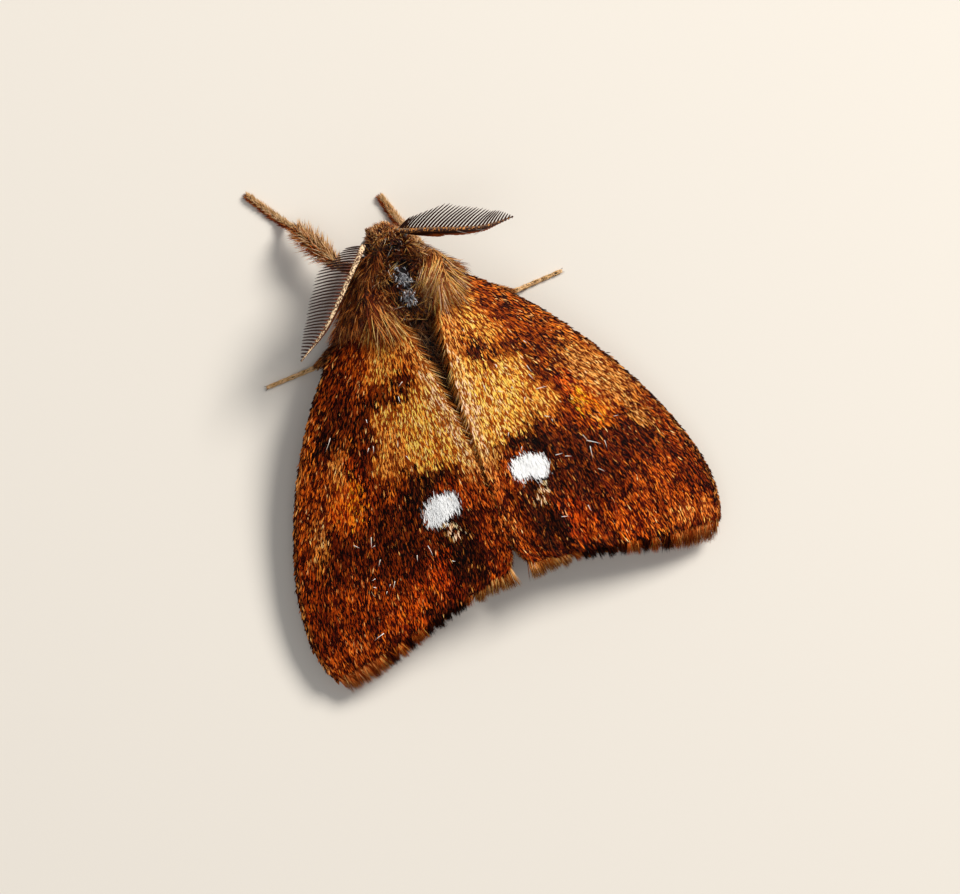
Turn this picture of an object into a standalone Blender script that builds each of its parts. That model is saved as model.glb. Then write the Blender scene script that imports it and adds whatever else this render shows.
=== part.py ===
"""A male vapourer moth (Orgyia antiqua) at rest, life size, as closed solids for each part of its body.

The world is in metres, +Z up. The head points to -Y, the moth's own left side to +X, and the feet
stand on Z = 0. Lengths below, and the meshes, are in millimetres: every object has a scale of 0.001.
The sizes reach to the tips of the hairs and scales. Left-hand parts are given, and the right-hand ones
mirror them unless they are posed differently. The last step moves the origin to the middle of the
moth's footprint.
"""

import math

import bmesh
import bpy
import numpy as np
from mathutils import Vector

MM = 0.001  # scale of every object, from millimetres to metres
GAP = 0.08  # clearance between neighbouring solids
LEFT, RIGHT = 1, -1

# Body: (y, half width, half height, height of the middle) at a few stations, from the front to the back.
HEAD = [(-2.62, 0.24, 0.26, 2.12), (-2.52, 0.46, 0.5, 2.14), (-2.25, 0.68, 0.74, 2.2),
        (-1.8, 0.86, 0.88, 2.26), (-1.1, 1.1, 1.0, 2.34)]
THORAX = [(-1.02, 1.2, 1.08, 2.4), (-0.7, 1.46, 1.26, 2.5), (0.0, 1.64, 1.42, 2.56),
          (0.8, 1.48, 1.34, 2.46), (1.4, 1.14, 1.06, 2.15)]
ABDOMEN = [(1.48, 1.08, 0.98, 1.92), (3.2, 1.14, 1.0, 1.72), (5.5, 1.02, 0.92, 1.5),
           (7.5, 0.82, 0.76, 1.32), (8.8, 0.56, 0.54, 1.2)]
TAIL_TUFT = [(8.88, 0.52, 0.46, 1.18), (9.5, 0.6, 0.4, 1.12), (10.1, 0.42, 0.26, 1.08)]
ABDOMEN_RINGS = 7  # segments that show as shallow steps
RING_DEPTH = 0.05

EYE_CENTRE = (0.64, -1.93, 2.02)
EYE_RADIUS = 0.42
PALP = [(0.3, -2.06, 1.56), (0.31, -2.4, 1.44), (0.3, -2.68, 1.4)]
PALP_RADII = [0.24, 0.25, 0.18]
# Shoulder tufts: hair plates that spread from the thorax over the wing roots.
SHOULDER_TUFT = [(1.1, -0.85, 2.85), (1.38, -0.3, 3.1), (1.62, 0.5, 3.2), (1.85, 1.4, 3.18)]
SHOULDER_TUFT_RADII = [0.3, 0.5, 0.58, 0.4]
SHOULDER_TUFT_FLATNESS = 0.78  # its height as a share of its width

# Forewing in plan: the two long edges from the thorax outwards, each ending in its rounded corner.
COSTA = [(1.2, -0.3), (4.2, 1.15), (8.25, 7.7), (8.22, 11.0), (8.2, 11.8), (7.98, 12.6), (7.6, 12.97)]
DORSUM = [(0.85, 0.9), (0.3, 3.0), (0.06, 6.6), (0.06, 10.0), (0.06, 10.7), (0.3, 11.25), (0.95, 11.4)]
TERMEN_BULGE = 2.2  # how far the outer edge bows out, where it is fullest near the apex
RIDGE_HEIGHT = (3.45, 1.15, 2.3)  # height at the thorax, drop to the hind corner, power of the drop
COSTA_HEIGHT = (2.95, 2.05, 1.6)  # the same along the front edge
ROOF_POWER = 1.4  # the wing is flattest beside the ridge
WING_THICKNESS = 0.5
# Hindwing: it lies under the forewing, and takes its shares across and along from it.
HINDWING_ACROSS = (0.2, 0.78)
HINDWING_ALONG = (0.17, 0.86)
HINDWING_DROP = 0.68
HINDWING_CORNER = 0.42  # how much the rounded apex takes off its width

# Antennae: the stem's route, then the two rows of teeth that stand off it in a trough.
ANTENNA_LEFT = [(0.76, -2.1, 2.74), (1.26, -1.64, 2.93), (1.78, -1.17, 3.02), (2.64, -0.36, 3.05),
                (3.5, 0.37, 2.95), (4.56, 1.03, 2.7)]
ANTENNA_RIGHT = [(-0.6, -2.12, 2.76), (-1.05, -1.92, 2.96), (-1.58, -1.71, 3.05), (-2.66, -1.29, 3.15),
                 (-3.6, -1.04, 3.1), (-4.84, -0.94, 2.85)]
TOOTH_PAIRS = 17
TOOTH_LENGTH = 1.12
TOOTH_LEAN = math.radians(50)  # between a tooth and the stem
UPPER_RISE = math.radians(10)
LOWER_BACK = math.radians(12)
STEM = 0.25  # half the thickness of stem and teeth
TOOTH_GROOVE = 0.84  # length of the valleys between teeth, as a share of the teeth

# Legs: hip, knee, ankle and toe. A foot lies along the floor.
LEGS = {
    "foreleg_left": [(0.62, -0.8, 1.62), (1.85, -1.72, 1.62), (2.76, -3.62, 0.86), (3.92, -5.55, 0.2)],
    "foreleg_right": [(-0.62, -0.8, 1.62), (-1.4, -0.52, 1.42), (-1.14, -1.95, 0.86), (-0.74, -3.62, 0.2)],
    "midleg_left": [(0.85, 0.2, 1.5), (2.5, 0.75, 1.32), (4.0, 1.42, 0.52), (5.95, 1.42, 0.2)],
    "midleg_right": [(-0.85, 0.2, 1.5), (-2.5, 0.8, 1.32), (-3.95, 1.62, 0.52), (-6.02, 1.58, 0.2)],
    "hindleg_left": [(0.75, 0.95, 1.3), (2.3, 2.75, 1.1), (2.65, 5.6, 0.58), (3.05, 8.4, 0.2)],
    "hindleg_right": [(-0.75, 0.95, 1.3), (-2.3, 2.75, 1.1), (-2.7, 5.5, 0.58), (-3.2, 8.3, 0.2)],
}
# Radius of the thigh, shin and foot. The forelegs' shins carry a thick brush of hair.
LEG_RADII = {"foreleg": (0.36, 0.46, 0.29), "midleg": (0.34, 0.3, 0.28), "hindleg": (0.34, 0.3, 0.28)}
FOOT_JOINTS = 5

COLOURS = {  # base colour, roughness, metallic
    "body_hair": ((0.055, 0.028, 0.016), 0.8, 0.0),
    "abdomen_hair": ((0.035, 0.018, 0.012), 0.8, 0.0),
    "shoulder_hair": ((0.2, 0.1, 0.035), 0.8, 0.0),
    "forewing_scales": ((0.26, 0.085, 0.018), 0.65, 0.0),
    "hindwing_scales": ((0.3, 0.11, 0.022), 0.65, 0.0),
    "eye": ((0.012, 0.009, 0.008), 0.15, 0.0),
    "antenna": ((0.12, 0.07, 0.045), 0.6, 0.0),
    "leg_hair": ((0.3, 0.15, 0.05), 0.75, 0.0),
    "foot_scales": ((0.55, 0.42, 0.22), 0.6, 0.0),
}


def mirrored(points):
    """The same points on the moth's right side."""
    return [(-x, y, z) for x, y, z in points]


def material(name):
    """The Principled material of that name, made once."""
    found = bpy.data.materials.get(name)
    if found is None:
        colour, roughness, metallic = COLOURS[name]
        found = bpy.data.materials.new(name)
        found.use_nodes = True
        shader = found.node_tree.nodes["Principled BSDF"]
        shader.inputs["Base Color"].default_value = (*colour, 1.0)
        shader.inputs["Roughness"].default_value = roughness
        shader.inputs["Metallic"].default_value = metallic
    return found


def add_object(name, bm, finish):
    """A scene object from a bmesh, shaded smooth with its edges kept."""
    mesh = bpy.data.meshes.new(name)
    bm.to_mesh(mesh)
    bm.free()
    mesh.materials.append(material(finish))
    mesh.shade_smooth()
    mesh.set_sharp_from_angle(angle=math.radians(40))
    found = bpy.data.objects.new(name, mesh)
    found.scale = (MM, MM, MM)
    bpy.context.scene.collection.objects.link(found)
    return found


def smooth_through(stations, count):
    """count rows on a smooth curve through the stations, evenly spaced along it."""
    rows = np.array(stations, float)
    padded = np.vstack([2 * rows[0] - rows[1], rows, 2 * rows[-1] - rows[-2]])
    fine = []
    for i in range(1, len(padded) - 2):
        a, b, c, d = padded[i - 1 : i + 3]
        for u in np.linspace(0, 1, 24, endpoint=False):
            fine.append(0.5 * (2 * b + (c - a) * u + (2 * a - 5 * b + 4 * c - d) * u**2
                               + (3 * b - a - 3 * c + d) * u**3))
    fine = np.array([*fine, rows[-1]])
    steps = np.linalg.norm(np.diff(fine[:, :3], axis=0), axis=1)
    run = np.concatenate([[0], np.cumsum(steps)])
    wanted = np.linspace(0, run[-1], count)
    return np.stack([np.interp(wanted, run, column) for column in fine.T], axis=1)


def loft(name, rings, finish):
    """A closed solid through rings that hold the same number of points."""
    bm = bmesh.new()
    loops = []
    for ring in rings:
        corners = [bm.verts.new(point) for point in ring]
        loops.append([bm.edges.new((a, b)) for a, b in zip(corners, corners[1:] + corners[:1])])
    for before, after in zip(loops, loops[1:]):
        bmesh.ops.bridge_loops(bm, edges=before + after)
    bmesh.ops.contextual_create(bm, geom=loops[0])
    bmesh.ops.contextual_create(bm, geom=loops[-1])
    bmesh.ops.recalc_face_normals(bm, faces=bm.faces)
    return add_object(name, bm, finish)


def trunk(name, stations, finish, rings=10, sides=20, steps=0):
    """A part of the trunk: ellipses across Y, with shallow steps where it is in segments."""
    outline = []
    for i, (y, width, height, middle) in enumerate(smooth_through(stations, rings)):
        waist = 1 - RING_DEPTH * (i % 2) if steps else 1
        turns = [math.tau * k / sides for k in range(sides)]
        outline.append([(width * waist * math.cos(t), y, middle + height * waist * math.sin(t))
                        for t in turns])
    return loft(name, outline, finish)


def limb(name, spine, radii, finish, rings=7, sides=8, joints=0, flatness=1.0):
    """A limb along a spine, with rounded ends. What would reach below the floor is pressed flat."""
    path = smooth_through(spine, rings)
    widths = smooth_through([(r, 0, 0) for r in radii], rings)[:, 0] if len(radii) > 2 else (
        np.linspace(radii[0], radii[-1], rings))
    outline = []
    for i, point in enumerate(path):
        along = Vector(path[min(i + 1, rings - 1)] - path[max(i - 1, 0)]).normalized()
        side = along.cross(Vector((0, 0, 1))).normalized()
        up = side.cross(along)
        radius = widths[i] * (0.72 if i in (0, rings - 1) else 1.0)
        if joints and i % 2:
            radius *= 0.9
        ring = []
        for k in range(sides):
            turn = math.tau * (k + 0.5) / sides
            across, rise = radius * math.cos(turn), radius * flatness * math.sin(turn)
            place = Vector(point) + side * across + up * rise
            ring.append((place.x, place.y, max(place.z, 0.0)))
        outline.append(ring)
    return loft(name, outline, finish)


def along_edge(controls, share):
    """The point at a share of the length of a chain of Bezier curves in plan."""
    fine = []
    for i in range(0, len(controls) - 1, 3):
        a, b, c, d = (np.array(p) for p in controls[i : i + 4])
        for u in np.linspace(0, 1, 32, endpoint=False):
            fine.append(a * (1 - u) ** 3 + 3 * b * u * (1 - u) ** 2 + 3 * c * u**2 * (1 - u) + d * u**3)
    fine = np.array([*fine, controls[-1]])
    run = np.concatenate([[0], np.cumsum(np.linalg.norm(np.diff(fine, axis=0), axis=1))])
    return [float(np.interp(share * run[-1], run, column)) for column in fine.T]


def height_at(rule, along):
    """Height of a wing's edge: (at the thorax, drop by the outer end, power)."""
    start, drop, power = rule
    if rule is COSTA_HEIGHT:
        return start - drop * (1 - (1 - along) ** power)
    return start - drop * along**power


def forewing_point(side, across, along):
    """A point on the forewing's upper side. across runs from the ridge to the costa, along to the tip."""
    inner = along_edge(DORSUM, along)
    outer = along_edge(COSTA, along)
    x = inner[0] + (outer[0] - inner[0]) * across
    y = inner[1] + (outer[1] - inner[1]) * across
    y += TERMEN_BULGE * across**3 * (1 - across) * along**6
    ridge = height_at(RIDGE_HEIGHT, along)
    edge = height_at(COSTA_HEIGHT, along)
    return Vector((side * x, y, ridge - (ridge - edge) * across**ROOF_POWER))


def hindwing_point(side, across, along):
    """A point on the hindwing's upper side, under the forewing."""
    inner, outer = HINDWING_ACROSS
    start, end = HINDWING_ALONG
    outer -= HINDWING_CORNER * (outer - inner) * along**5
    share = inner + (outer - inner) * across
    reach = start + (end - start) * along * (1 - 0.07 * (1 - across) ** 2)
    place = forewing_point(side, share, reach)
    place.z -= HINDWING_DROP
    return place


def wing(name, side, point_at, finish, cells_across=11, cells_along=18):
    """A wing as a sheet of even thickness under its upper side."""
    bm = bmesh.new()
    bmesh.ops.create_grid(bm, x_segments=cells_across, y_segments=cells_along, size=0.5)
    for vert in bm.verts:
        vert.co = point_at(side, vert.co.x + 0.5, vert.co.y + 0.5)
    bmesh.ops.recalc_face_normals(bm, faces=bm.faces)
    if sum(face.normal.z for face in bm.faces) < 0:
        bmesh.ops.reverse_faces(bm, faces=bm.faces)
    found = add_object(name, bm, finish)
    thicken = found.modifiers.new("thickness", "SOLIDIFY")
    thicken.thickness = WING_THICKNESS
    thicken.offset = -1
    thicken.use_even_offset = True
    return found


def antenna(name, stem, side, finish="antenna"):
    """A feathered antenna: a stem with an upper and a lower row of teeth, in an L-shaped section."""
    stations = 2 * TOOTH_PAIRS + 3
    path = smooth_through(stem, stations)
    rings = []
    for i, point in enumerate(path):
        share = i / (stations - 1)
        along = Vector(path[min(i + 1, stations - 1)] - path[max(i - 1, 0)]).normalized()
        out = along.cross(Vector((0, 0, side))).normalized()
        up = out.cross(along) * side
        upper = out * math.cos(UPPER_RISE) + up * math.sin(UPPER_RISE)
        lower = up * -math.cos(LOWER_BACK) - out * math.sin(LOWER_BACK)
        length = TOOTH_LENGTH * min(1.0, 0.3 + 3.2 * share) * (1 - share**3.2)
        if i % 2:
            length *= TOOTH_GROOVE
        lean = along * (length * math.cos(TOOTH_LEAN))
        tip = max(length * math.sin(TOOTH_LEAN), STEM + 0.02)
        half = STEM * (0.9 if i % 2 else 1.0)
        base = Vector(point)
        section = [
            base - upper * half - lower * half,
            base + upper * tip - lower * half + lean,
            base + upper * tip + lower * half + lean,
            base + upper * half + lower * half,
            base + upper * half + lower * tip + lean,
            base - upper * half + lower * tip + lean,
        ]
        rings.append(section)
    return loft(name, rings, finish)


def trim(piece, neighbour):
    """Cuts piece back to a small clearance round its neighbour's uncut shape."""
    name = neighbour.name + "_clearance"
    cutter = bpy.data.objects.get(name)
    if cutter is None:
        cutter = neighbour.copy()
        cutter.name = name
        cutter.data = neighbour.data.copy()
        for cut in [m for m in cutter.modifiers if m.type == "BOOLEAN"]:
            cutter.modifiers.remove(cut)
        grow = cutter.modifiers.new("grow", "DISPLACE")
        grow.strength = GAP
        grow.mid_level = 0
        cutter.hide_render = True
        cutter.display_type = "WIRE"
        bpy.context.scene.collection.objects.link(cutter)
    cut = piece.modifiers.new("clear_" + neighbour.name, "BOOLEAN")
    cut.operation = "DIFFERENCE"
    cut.solver = "EXACT"
    cut.object = cutter


def make_eye(name, side):
    """A compound eye, a plain dome in a socket of the head."""
    bm = bmesh.new()
    bmesh.ops.create_uvsphere(bm, u_segments=16, v_segments=10, radius=EYE_RADIUS)
    x, y, z = EYE_CENTRE
    bmesh.ops.translate(bm, verts=bm.verts, vec=(side * x, y, z))
    return add_object(name, bm, "eye")


def make_leg(name, trunk_parts):
    """Thigh, shin and foot of one leg, each cut clear of the part that it hangs from."""
    hip, knee, ankle, toe = LEGS[name]
    thigh_radius, shin_radius, foot_radius = LEG_RADII[name.split("_")[0]]
    between = [(k + h) / 2 for k, h in zip(knee, hip)]
    thigh = limb(name + "_femur", [hip, between, knee], (thigh_radius, thigh_radius), "leg_hair")
    shin_middle = [0.45 * k + 0.55 * a for k, a in zip(knee, ankle)]
    shin_middle[2] += 0.06
    shin = limb(name + "_tibia", [knee, shin_middle, ankle], (0.3, shin_radius, 0.27), "leg_hair")
    flat = [0.68 * a + 0.32 * t for a, t in zip(ankle, toe)]
    flat[2] = toe[2] + 0.03
    foot = limb(name + "_tarsus", [ankle, flat, toe], (foot_radius, foot_radius * 0.95), "foot_scales",
                rings=2 * FOOT_JOINTS + 1, joints=FOOT_JOINTS)
    for part in trunk_parts:
        trim(thigh, part)
    trim(shin, thigh)
    trim(foot, shin)


def centre_on_footprint():
    """Moves everything so that the origin is at the middle of the footprint, at floor level."""
    bpy.context.view_layer.update()
    graph = bpy.context.evaluated_depsgraph_get()
    shown = [o for o in bpy.context.scene.objects if not o.hide_render]
    corners = [o.matrix_world @ Vector(c) for o in shown for c in o.evaluated_get(graph).bound_box]
    low = [min(c[axis] for c in corners) for axis in range(3)]
    high = [max(c[axis] for c in corners) for axis in range(3)]
    shift = Vector(((low[0] + high[0]) / -2, (low[1] + high[1]) / -2, -low[2]))
    for found in bpy.context.scene.objects:
        found.location = shift


def build():
    for old in list(bpy.data.objects):
        bpy.data.objects.remove(old)
    head = trunk("head", HEAD, "body_hair")
    thorax = trunk("thorax", THORAX, "body_hair")
    abdomen = trunk("abdomen", ABDOMEN, "abdomen_hair", rings=2 * ABDOMEN_RINGS + 1, steps=ABDOMEN_RINGS)
    trunk("tail_tuft", TAIL_TUFT, "abdomen_hair", rings=5)
    for side, word in ((LEFT, "left"), (RIGHT, "right")):
        eye = make_eye("eye_" + word, side)
        trim(head, eye)
        palp = limb("palp_" + word, PALP if side == LEFT else mirrored(PALP), PALP_RADII, "body_hair", rings=5)
        stem = ANTENNA_LEFT if side == LEFT else ANTENNA_RIGHT
        feeler = antenna("antenna_" + word, stem, side)
        trim(feeler, eye)
        forewing = wing("forewing_" + word, side, forewing_point, "forewing_scales")
        hindwing = wing("hindwing_" + word, side, hindwing_point, "hindwing_scales", 6, 9)
        trim(forewing, thorax)
        trim(hindwing, thorax)
        trim(hindwing, abdomen)
        for piece in (palp, feeler):
            trim(piece, head)
        tuft_spine = SHOULDER_TUFT if side == LEFT else mirrored(SHOULDER_TUFT)
        tuft = limb("shoulder_tuft_" + word, tuft_spine, SHOULDER_TUFT_RADII, "shoulder_hair",
                    sides=12, flatness=SHOULDER_TUFT_FLATNESS)
        trim(tuft, thorax)
        trim(tuft, forewing)
    for name in LEGS:
        make_leg(name, {"foreleg": (thorax, head), "midleg": (thorax,), "hindleg": (thorax, abdomen)}[
            name.split("_")[0]])
    centre_on_footprint()


build()
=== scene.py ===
"""Looks of a resting male vapourer moth: skin, coat of hairs and scales, feathered antennae, eyes and claws.

Lengths are in millimetres in the moth's own axes: the head points to -Y, its left side is +X, and the feet
stand on Z = 0. add_piece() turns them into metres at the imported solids' place. Every piece carries two
attributes that its material reads: "root", the place in millimetres that a hair or scale grows from (its
third number is the share across the wing on a wing), and "hair", made up of a random tone, the share along
the hair, and a kind.
"""

import math
from functools import partial

import bmesh
import bpy
import numpy as np
from mathutils import Matrix, Vector


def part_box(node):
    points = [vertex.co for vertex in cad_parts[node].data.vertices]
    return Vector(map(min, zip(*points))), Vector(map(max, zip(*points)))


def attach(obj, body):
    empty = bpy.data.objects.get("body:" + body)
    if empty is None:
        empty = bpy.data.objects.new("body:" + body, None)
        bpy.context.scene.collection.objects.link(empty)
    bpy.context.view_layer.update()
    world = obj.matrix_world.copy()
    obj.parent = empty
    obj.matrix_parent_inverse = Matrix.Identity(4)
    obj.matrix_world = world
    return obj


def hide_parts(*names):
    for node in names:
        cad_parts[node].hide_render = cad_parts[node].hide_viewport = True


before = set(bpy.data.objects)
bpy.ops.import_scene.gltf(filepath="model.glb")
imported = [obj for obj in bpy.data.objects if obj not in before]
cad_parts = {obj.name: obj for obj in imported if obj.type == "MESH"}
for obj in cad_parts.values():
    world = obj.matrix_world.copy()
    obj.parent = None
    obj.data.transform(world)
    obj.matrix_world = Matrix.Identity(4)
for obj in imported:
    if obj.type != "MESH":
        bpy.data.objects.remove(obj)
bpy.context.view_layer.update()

MM = 0.001
THORAX_FRONT = -1.02  # Y of the thorax's front face in the moth's axes
SHIFT = np.array([0.0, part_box("thorax")[0].y / MM - THORAX_FRONT, 0.0])
LEFT, RIGHT = 1, -1
SIDES = ((LEFT, "left"), (RIGHT, "right"))
PATCH = 0.003  # width of one tuft's patch on the coat's map
RANDOM = np.random.default_rng(7)

# Trunk out to the tips of the hair: (y, half width, half height, height of the middle), and the hair's depth.
TRUNK = [(-2.56, 0.24, 0.26, 2.12), (-2.46, 0.46, 0.5, 2.14), (-2.25, 0.68, 0.74, 2.2),
         (-1.8, 0.86, 0.88, 2.26), (-1.1, 1.12, 1.0, 2.36), (-0.7, 1.46, 1.26, 2.5),
         (0.0, 1.64, 1.42, 2.56), (0.8, 1.48, 1.34, 2.46), (1.45, 1.12, 1.02, 2.05),
         (3.2, 1.14, 1.0, 1.72), (5.5, 1.02, 0.92, 1.5), (7.5, 0.82, 0.76, 1.32),
         (8.8, 0.6, 0.56, 1.2), (9.5, 0.6, 0.42, 1.12), (10.1, 0.42, 0.26, 1.08)]
HAIR_DEPTH = [(-2.56, 0.14), (-2.3, 0.2), (-1.5, 0.3), (-0.5, 0.42), (0.5, 0.42), (1.5, 0.3), (7.0, 0.24),
              (8.8, 0.26), (10.1, 0.2)]

# The forewing's front edge and inner edge from the root on, as chains of Bezier curves in plan.
COSTA = {
    LEFT: [(1.2, -0.3), (4.8, 1.1), (8.3, 7.5), (8.22, 11.0), (8.2, 11.8), (7.98, 12.6), (7.6, 12.97)],
    RIGHT: [(1.2, -0.3), (4.35, 1.1), (8.25, 7.7), (8.22, 11.0), (8.2, 11.8), (7.98, 12.6), (7.6, 12.97)],
}
DORSUM = [(0.85, 0.9), (0.3, 3.0), (0.06, 6.6), (0.06, 10.0), (0.06, 10.7), (0.3, 11.25), (0.95, 11.4)]
TERMEN_BULGE = 2.2  # how far the outer edge bows out
RIDGE_HEIGHT = (3.45, 1.15, 2.3)  # height of the inner edge at the root, its fall to the end, and how late
COSTA_HEIGHT = (2.95, 2.05, 1.6)  # the same for the front edge, which falls early
ROOF_POWER = 1.4  # above 1 the wing is flat beside the body and steep outside
VEINS = 8  # shallow pleats across the forewing's outer half
VEIN_RELIEF = 0.03
HINDWING_ACROSS = (0.2, 0.78)  # the part of the forewing's two numbers that the hindwing lies under
HINDWING_ALONG = (0.17, 0.86)
HINDWING_DROP = 0.68  # below the forewing
HINDWING_CORNER = 0.42  # how far the outer rear corner is drawn in
MEMBRANE_DEPTH = 0.1  # below the tips of the scales
MEMBRANE = 0.16  # thickness
CLUMPS = 20  # tufts of the fringe along the wing's outer edge
COMBS = 68  # fine strands of the fringe
# Hairs of the forewing's inner edge: count, stretch along the wing, lean inwards, lengths and rise.
INNER_EDGE = [(1300, (0.02, 0.95), (-0.05, 0.16), (0.25, 0.5), (0.0, 0.1)),
              (500, (0.7, 0.97), (-0.1, 0.1), (0.4, 0.8), (-0.1, 0.05)),
              (700, (0.6, 0.97), (0.1, 0.6), (0.25, 0.45), (-0.2, 0.05)),
              (280, (0.02, 0.6), (0.3, 1.1), (0.4, 0.8), (-0.25, 0.05))]
WING_ROOT = (0.9, -0.3)  # the scales fan out from here

ANTENNAE = {  # centre lines from the head to the tip
    LEFT: [(0.84, -2.05, 2.7), (1.26, -1.64, 2.93), (1.78, -1.17, 3.02),
           (2.64, -0.36, 3.05), (3.5, 0.37, 2.95), (4.66, 1.07, 2.7)],
    RIGHT: [(-0.53, -2.08, 2.72), (-1.03, -1.88, 2.96), (-1.57, -1.69, 3.05),
            (-2.65, -1.27, 3.15), (-3.58, -0.99, 3.1), (-4.76, -0.92, 2.85)],
}
TEETH = {LEFT: 37, RIGHT: 32}  # in each row
BRISTLES = 12  # on each side of a tooth
TOOTH_LENGTH = 1.36
TOOTH_LEAN = {LEFT: math.radians(66), RIGHT: math.radians(52)}  # between a tooth and the stem's far part
UPPER_RISE = {LEFT: math.radians(4), RIGHT: math.radians(24)}  # the upper row points out and this far up
LOWER_BACK = math.radians(12)  # the lower row points down and this far in
STEM_BACK = {LEFT: (0.0, 0.0, 1.0), RIGHT: (0.0, -0.9, -0.3)}  # the stem's cream side

LEGS = {  # hip, knee, ankle and toe
    "foreleg_left": [(0.62, -0.8, 1.62), (1.85, -1.72, 1.62), (2.76, -3.62, 0.86), (3.92, -5.55, 0.2)],
    "foreleg_right": [(-0.62, -0.8, 1.62), (-1.4, -0.52, 1.42), (-1.14, -1.95, 0.86), (-0.74, -3.62, 0.2)],
    "midleg_left": [(0.85, 0.2, 1.5), (2.5, 0.75, 1.32), (4.0, 1.42, 0.52), (5.95, 1.42, 0.2)],
    "midleg_right": [(-0.85, 0.2, 1.5), (-2.5, 0.8, 1.32), (-3.95, 1.62, 0.52), (-6.02, 1.58, 0.2)],
    "hindleg_left": [(0.75, 0.95, 1.3), (2.3, 2.75, 1.1), (2.65, 5.6, 0.58), (3.05, 8.4, 0.2)],
    "hindleg_right": [(-0.75, 0.95, 1.3), (-2.3, 2.75, 1.1), (-2.7, 5.5, 0.58), (-3.2, 8.3, 0.2)],
}
PAINTED_LIGHT_SIDE = np.array([-0.65, -0.3, 0.5])  # the way towards the key light: forelegs' hairs facing it get painted light, pale gold
PALP = [(0.3, -2.06, 1.56), (0.31, -2.36, 1.44), (0.3, -2.6, 1.4)]
FOOT_HEIGHT = 0.09  # of the foot's middle
FOOT_JOINTS = 5
EYE_CENTRE = (0.6, -1.93, 1.98)
EYE_RADIUS = 0.33
# Pale loose hairs on the wings: side, place, turn from the tail outwards in degrees, and length.
STRAYS = [(RIGHT, 3.1, 4.4, 12, 0.34), (RIGHT, 3.1, 5.35, 82, 0.42), (RIGHT, 1.7, 4.9, 70, 0.2),
          (RIGHT, 3.0, 6.4, 60, 0.24), (RIGHT, 4.1, 7.6, 20, 0.4), (RIGHT, 4.15, 7.85, 60, 0.6),
          (RIGHT, 4.2, 8.1, -12, 0.5), (RIGHT, 4.8, 8.1, 5, 0.32), (RIGHT, 5.5, 7.4, 75, 0.2),
          (LEFT, 1.5, 3.2, 60, 0.26), (LEFT, 4.7, 4.1, 35, 0.6), (LEFT, 4.7, 8.1, 25, 0.45),
          (LEFT, 2.9, 9.2, -14, 0.5), (LEFT, 4.5, 9.95, 30, 0.35), (LEFT, 5.6, 11.6, 78, 0.45),
          (LEFT, 2.4, 5.8, -20, 0.22), (LEFT, 4.7, 9.0, 40, 0.3)]
# Pale hairs caught on the right antenna: root, lie and length.
ANTENNA_STRAYS = [((-2.55, -1.24, 3.02), (-0.6, 0.41, -0.05), 0.73),
                  ((-2.81, -1.18, 3.04), (-0.77, 0.28, -0.05), 0.82),
                  ((-3.15, -0.84, 2.9), (-0.43, -0.07, 0.0), 0.44)]
GLINTS = [(0.08, -0.36, 0.27, 0.38), (0.12, 0.34, 0.24, 0.26)]  # places on the thorax where pale glints of reflected light are painted, and half sizes
BACK = (0.0, math.pi)  # turns round the trunk that face up
# Where each fan of hair starts, and how far its innermost and outermost hairs turn outwards, in degrees.
FANS = {LEFT: ((1.27, 0.08), -24, 70), RIGHT: ((-1.23, -0.3), -50, 62)}
# The tuft before each fan: hairs, stretch along the body, spread outwards, longest hair and mean kind.
SHOULDER_TUFTS = {LEFT: (2600, (-1.7, 0.55), 0.8, 0.8, 0.85), RIGHT: (1800, (-1.5, -0.05), 0.5, 0.65, 0.75)}
TONE_SHARES = (0.62, 1.0, 1.5)  # how far a shade moves red, green and blue: light is creamy, dark is red
BRIGHTEST_TONE = (0.95, 0.62, 0.38)  # no shade goes beyond this
CELLS = RANDOM.normal(0, 1, (4096, 3))  # a lean and a tone that the hairs of one small cell share


def srgb(red, green, blue):
    """A colour given as 0 to 255 for a screen, as the linear values that shaders take."""
    shares = [v / 255 for v in (red, green, blue)]
    return tuple(s / 12.92 if s <= 0.04045 else ((s + 0.055) / 1.055) ** 2.4 for s in shares)


# ---------------------------------------------------------------- shader nodes

def add(tree, kind, *inputs, **settings):
    """A node of that kind. inputs are sockets or values in socket order, and None leaves one as it is."""
    made = tree.nodes.new(kind)
    for key, value in settings.items():
        setattr(made, key, value)
    for socket, value in zip(made.inputs, inputs):
        if isinstance(value, bpy.types.NodeSocket):
            tree.links.new(value, socket)
        elif value is not None:
            socket.default_value = value
    return made


def maths(tree, operation, *inputs):
    return add(tree, "ShaderNodeMath", *inputs, operation=operation).outputs[0]


def ramp(tree, value, low, high, start=0.0, end=1.0, smooth=True):
    """Maps value from low..high to start..end, and holds it there."""
    made = add(tree, "ShaderNodeMapRange", value, low, high, start, end)
    made.interpolation_type = "SMOOTHSTEP" if smooth else "LINEAR"
    return made.outputs[0]


def mix(tree, share, first, second, blend="MIX"):
    """Mixes two colours by share."""
    made = tree.nodes.new("ShaderNodeMix")
    made.data_type = "RGBA"
    made.blend_type = blend
    made.clamp_result = False
    for socket, value in ((made.inputs[0], share), (made.inputs[6], first), (made.inputs[7], second)):
        if isinstance(value, bpy.types.NodeSocket):
            tree.links.new(value, socket)
        else:
            socket.default_value = value if isinstance(value, (int, float)) else (*value[:3], 1.0)
    return made.outputs[2]


def vector_maths(tree, operation, *inputs):
    return add(tree, "ShaderNodeVectorMath", *inputs, operation=operation).outputs[0]


def vector(tree, x, y, z=0.0):
    return add(tree, "ShaderNodeCombineXYZ", x, y, z).outputs[0]


def noise(tree, place, scale, detail=2.0, roughness=0.5):
    """The outputs of a noise texture over that place."""
    return add(tree, "ShaderNodeTexNoise", place, None, scale, detail, roughness).outputs


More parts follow.
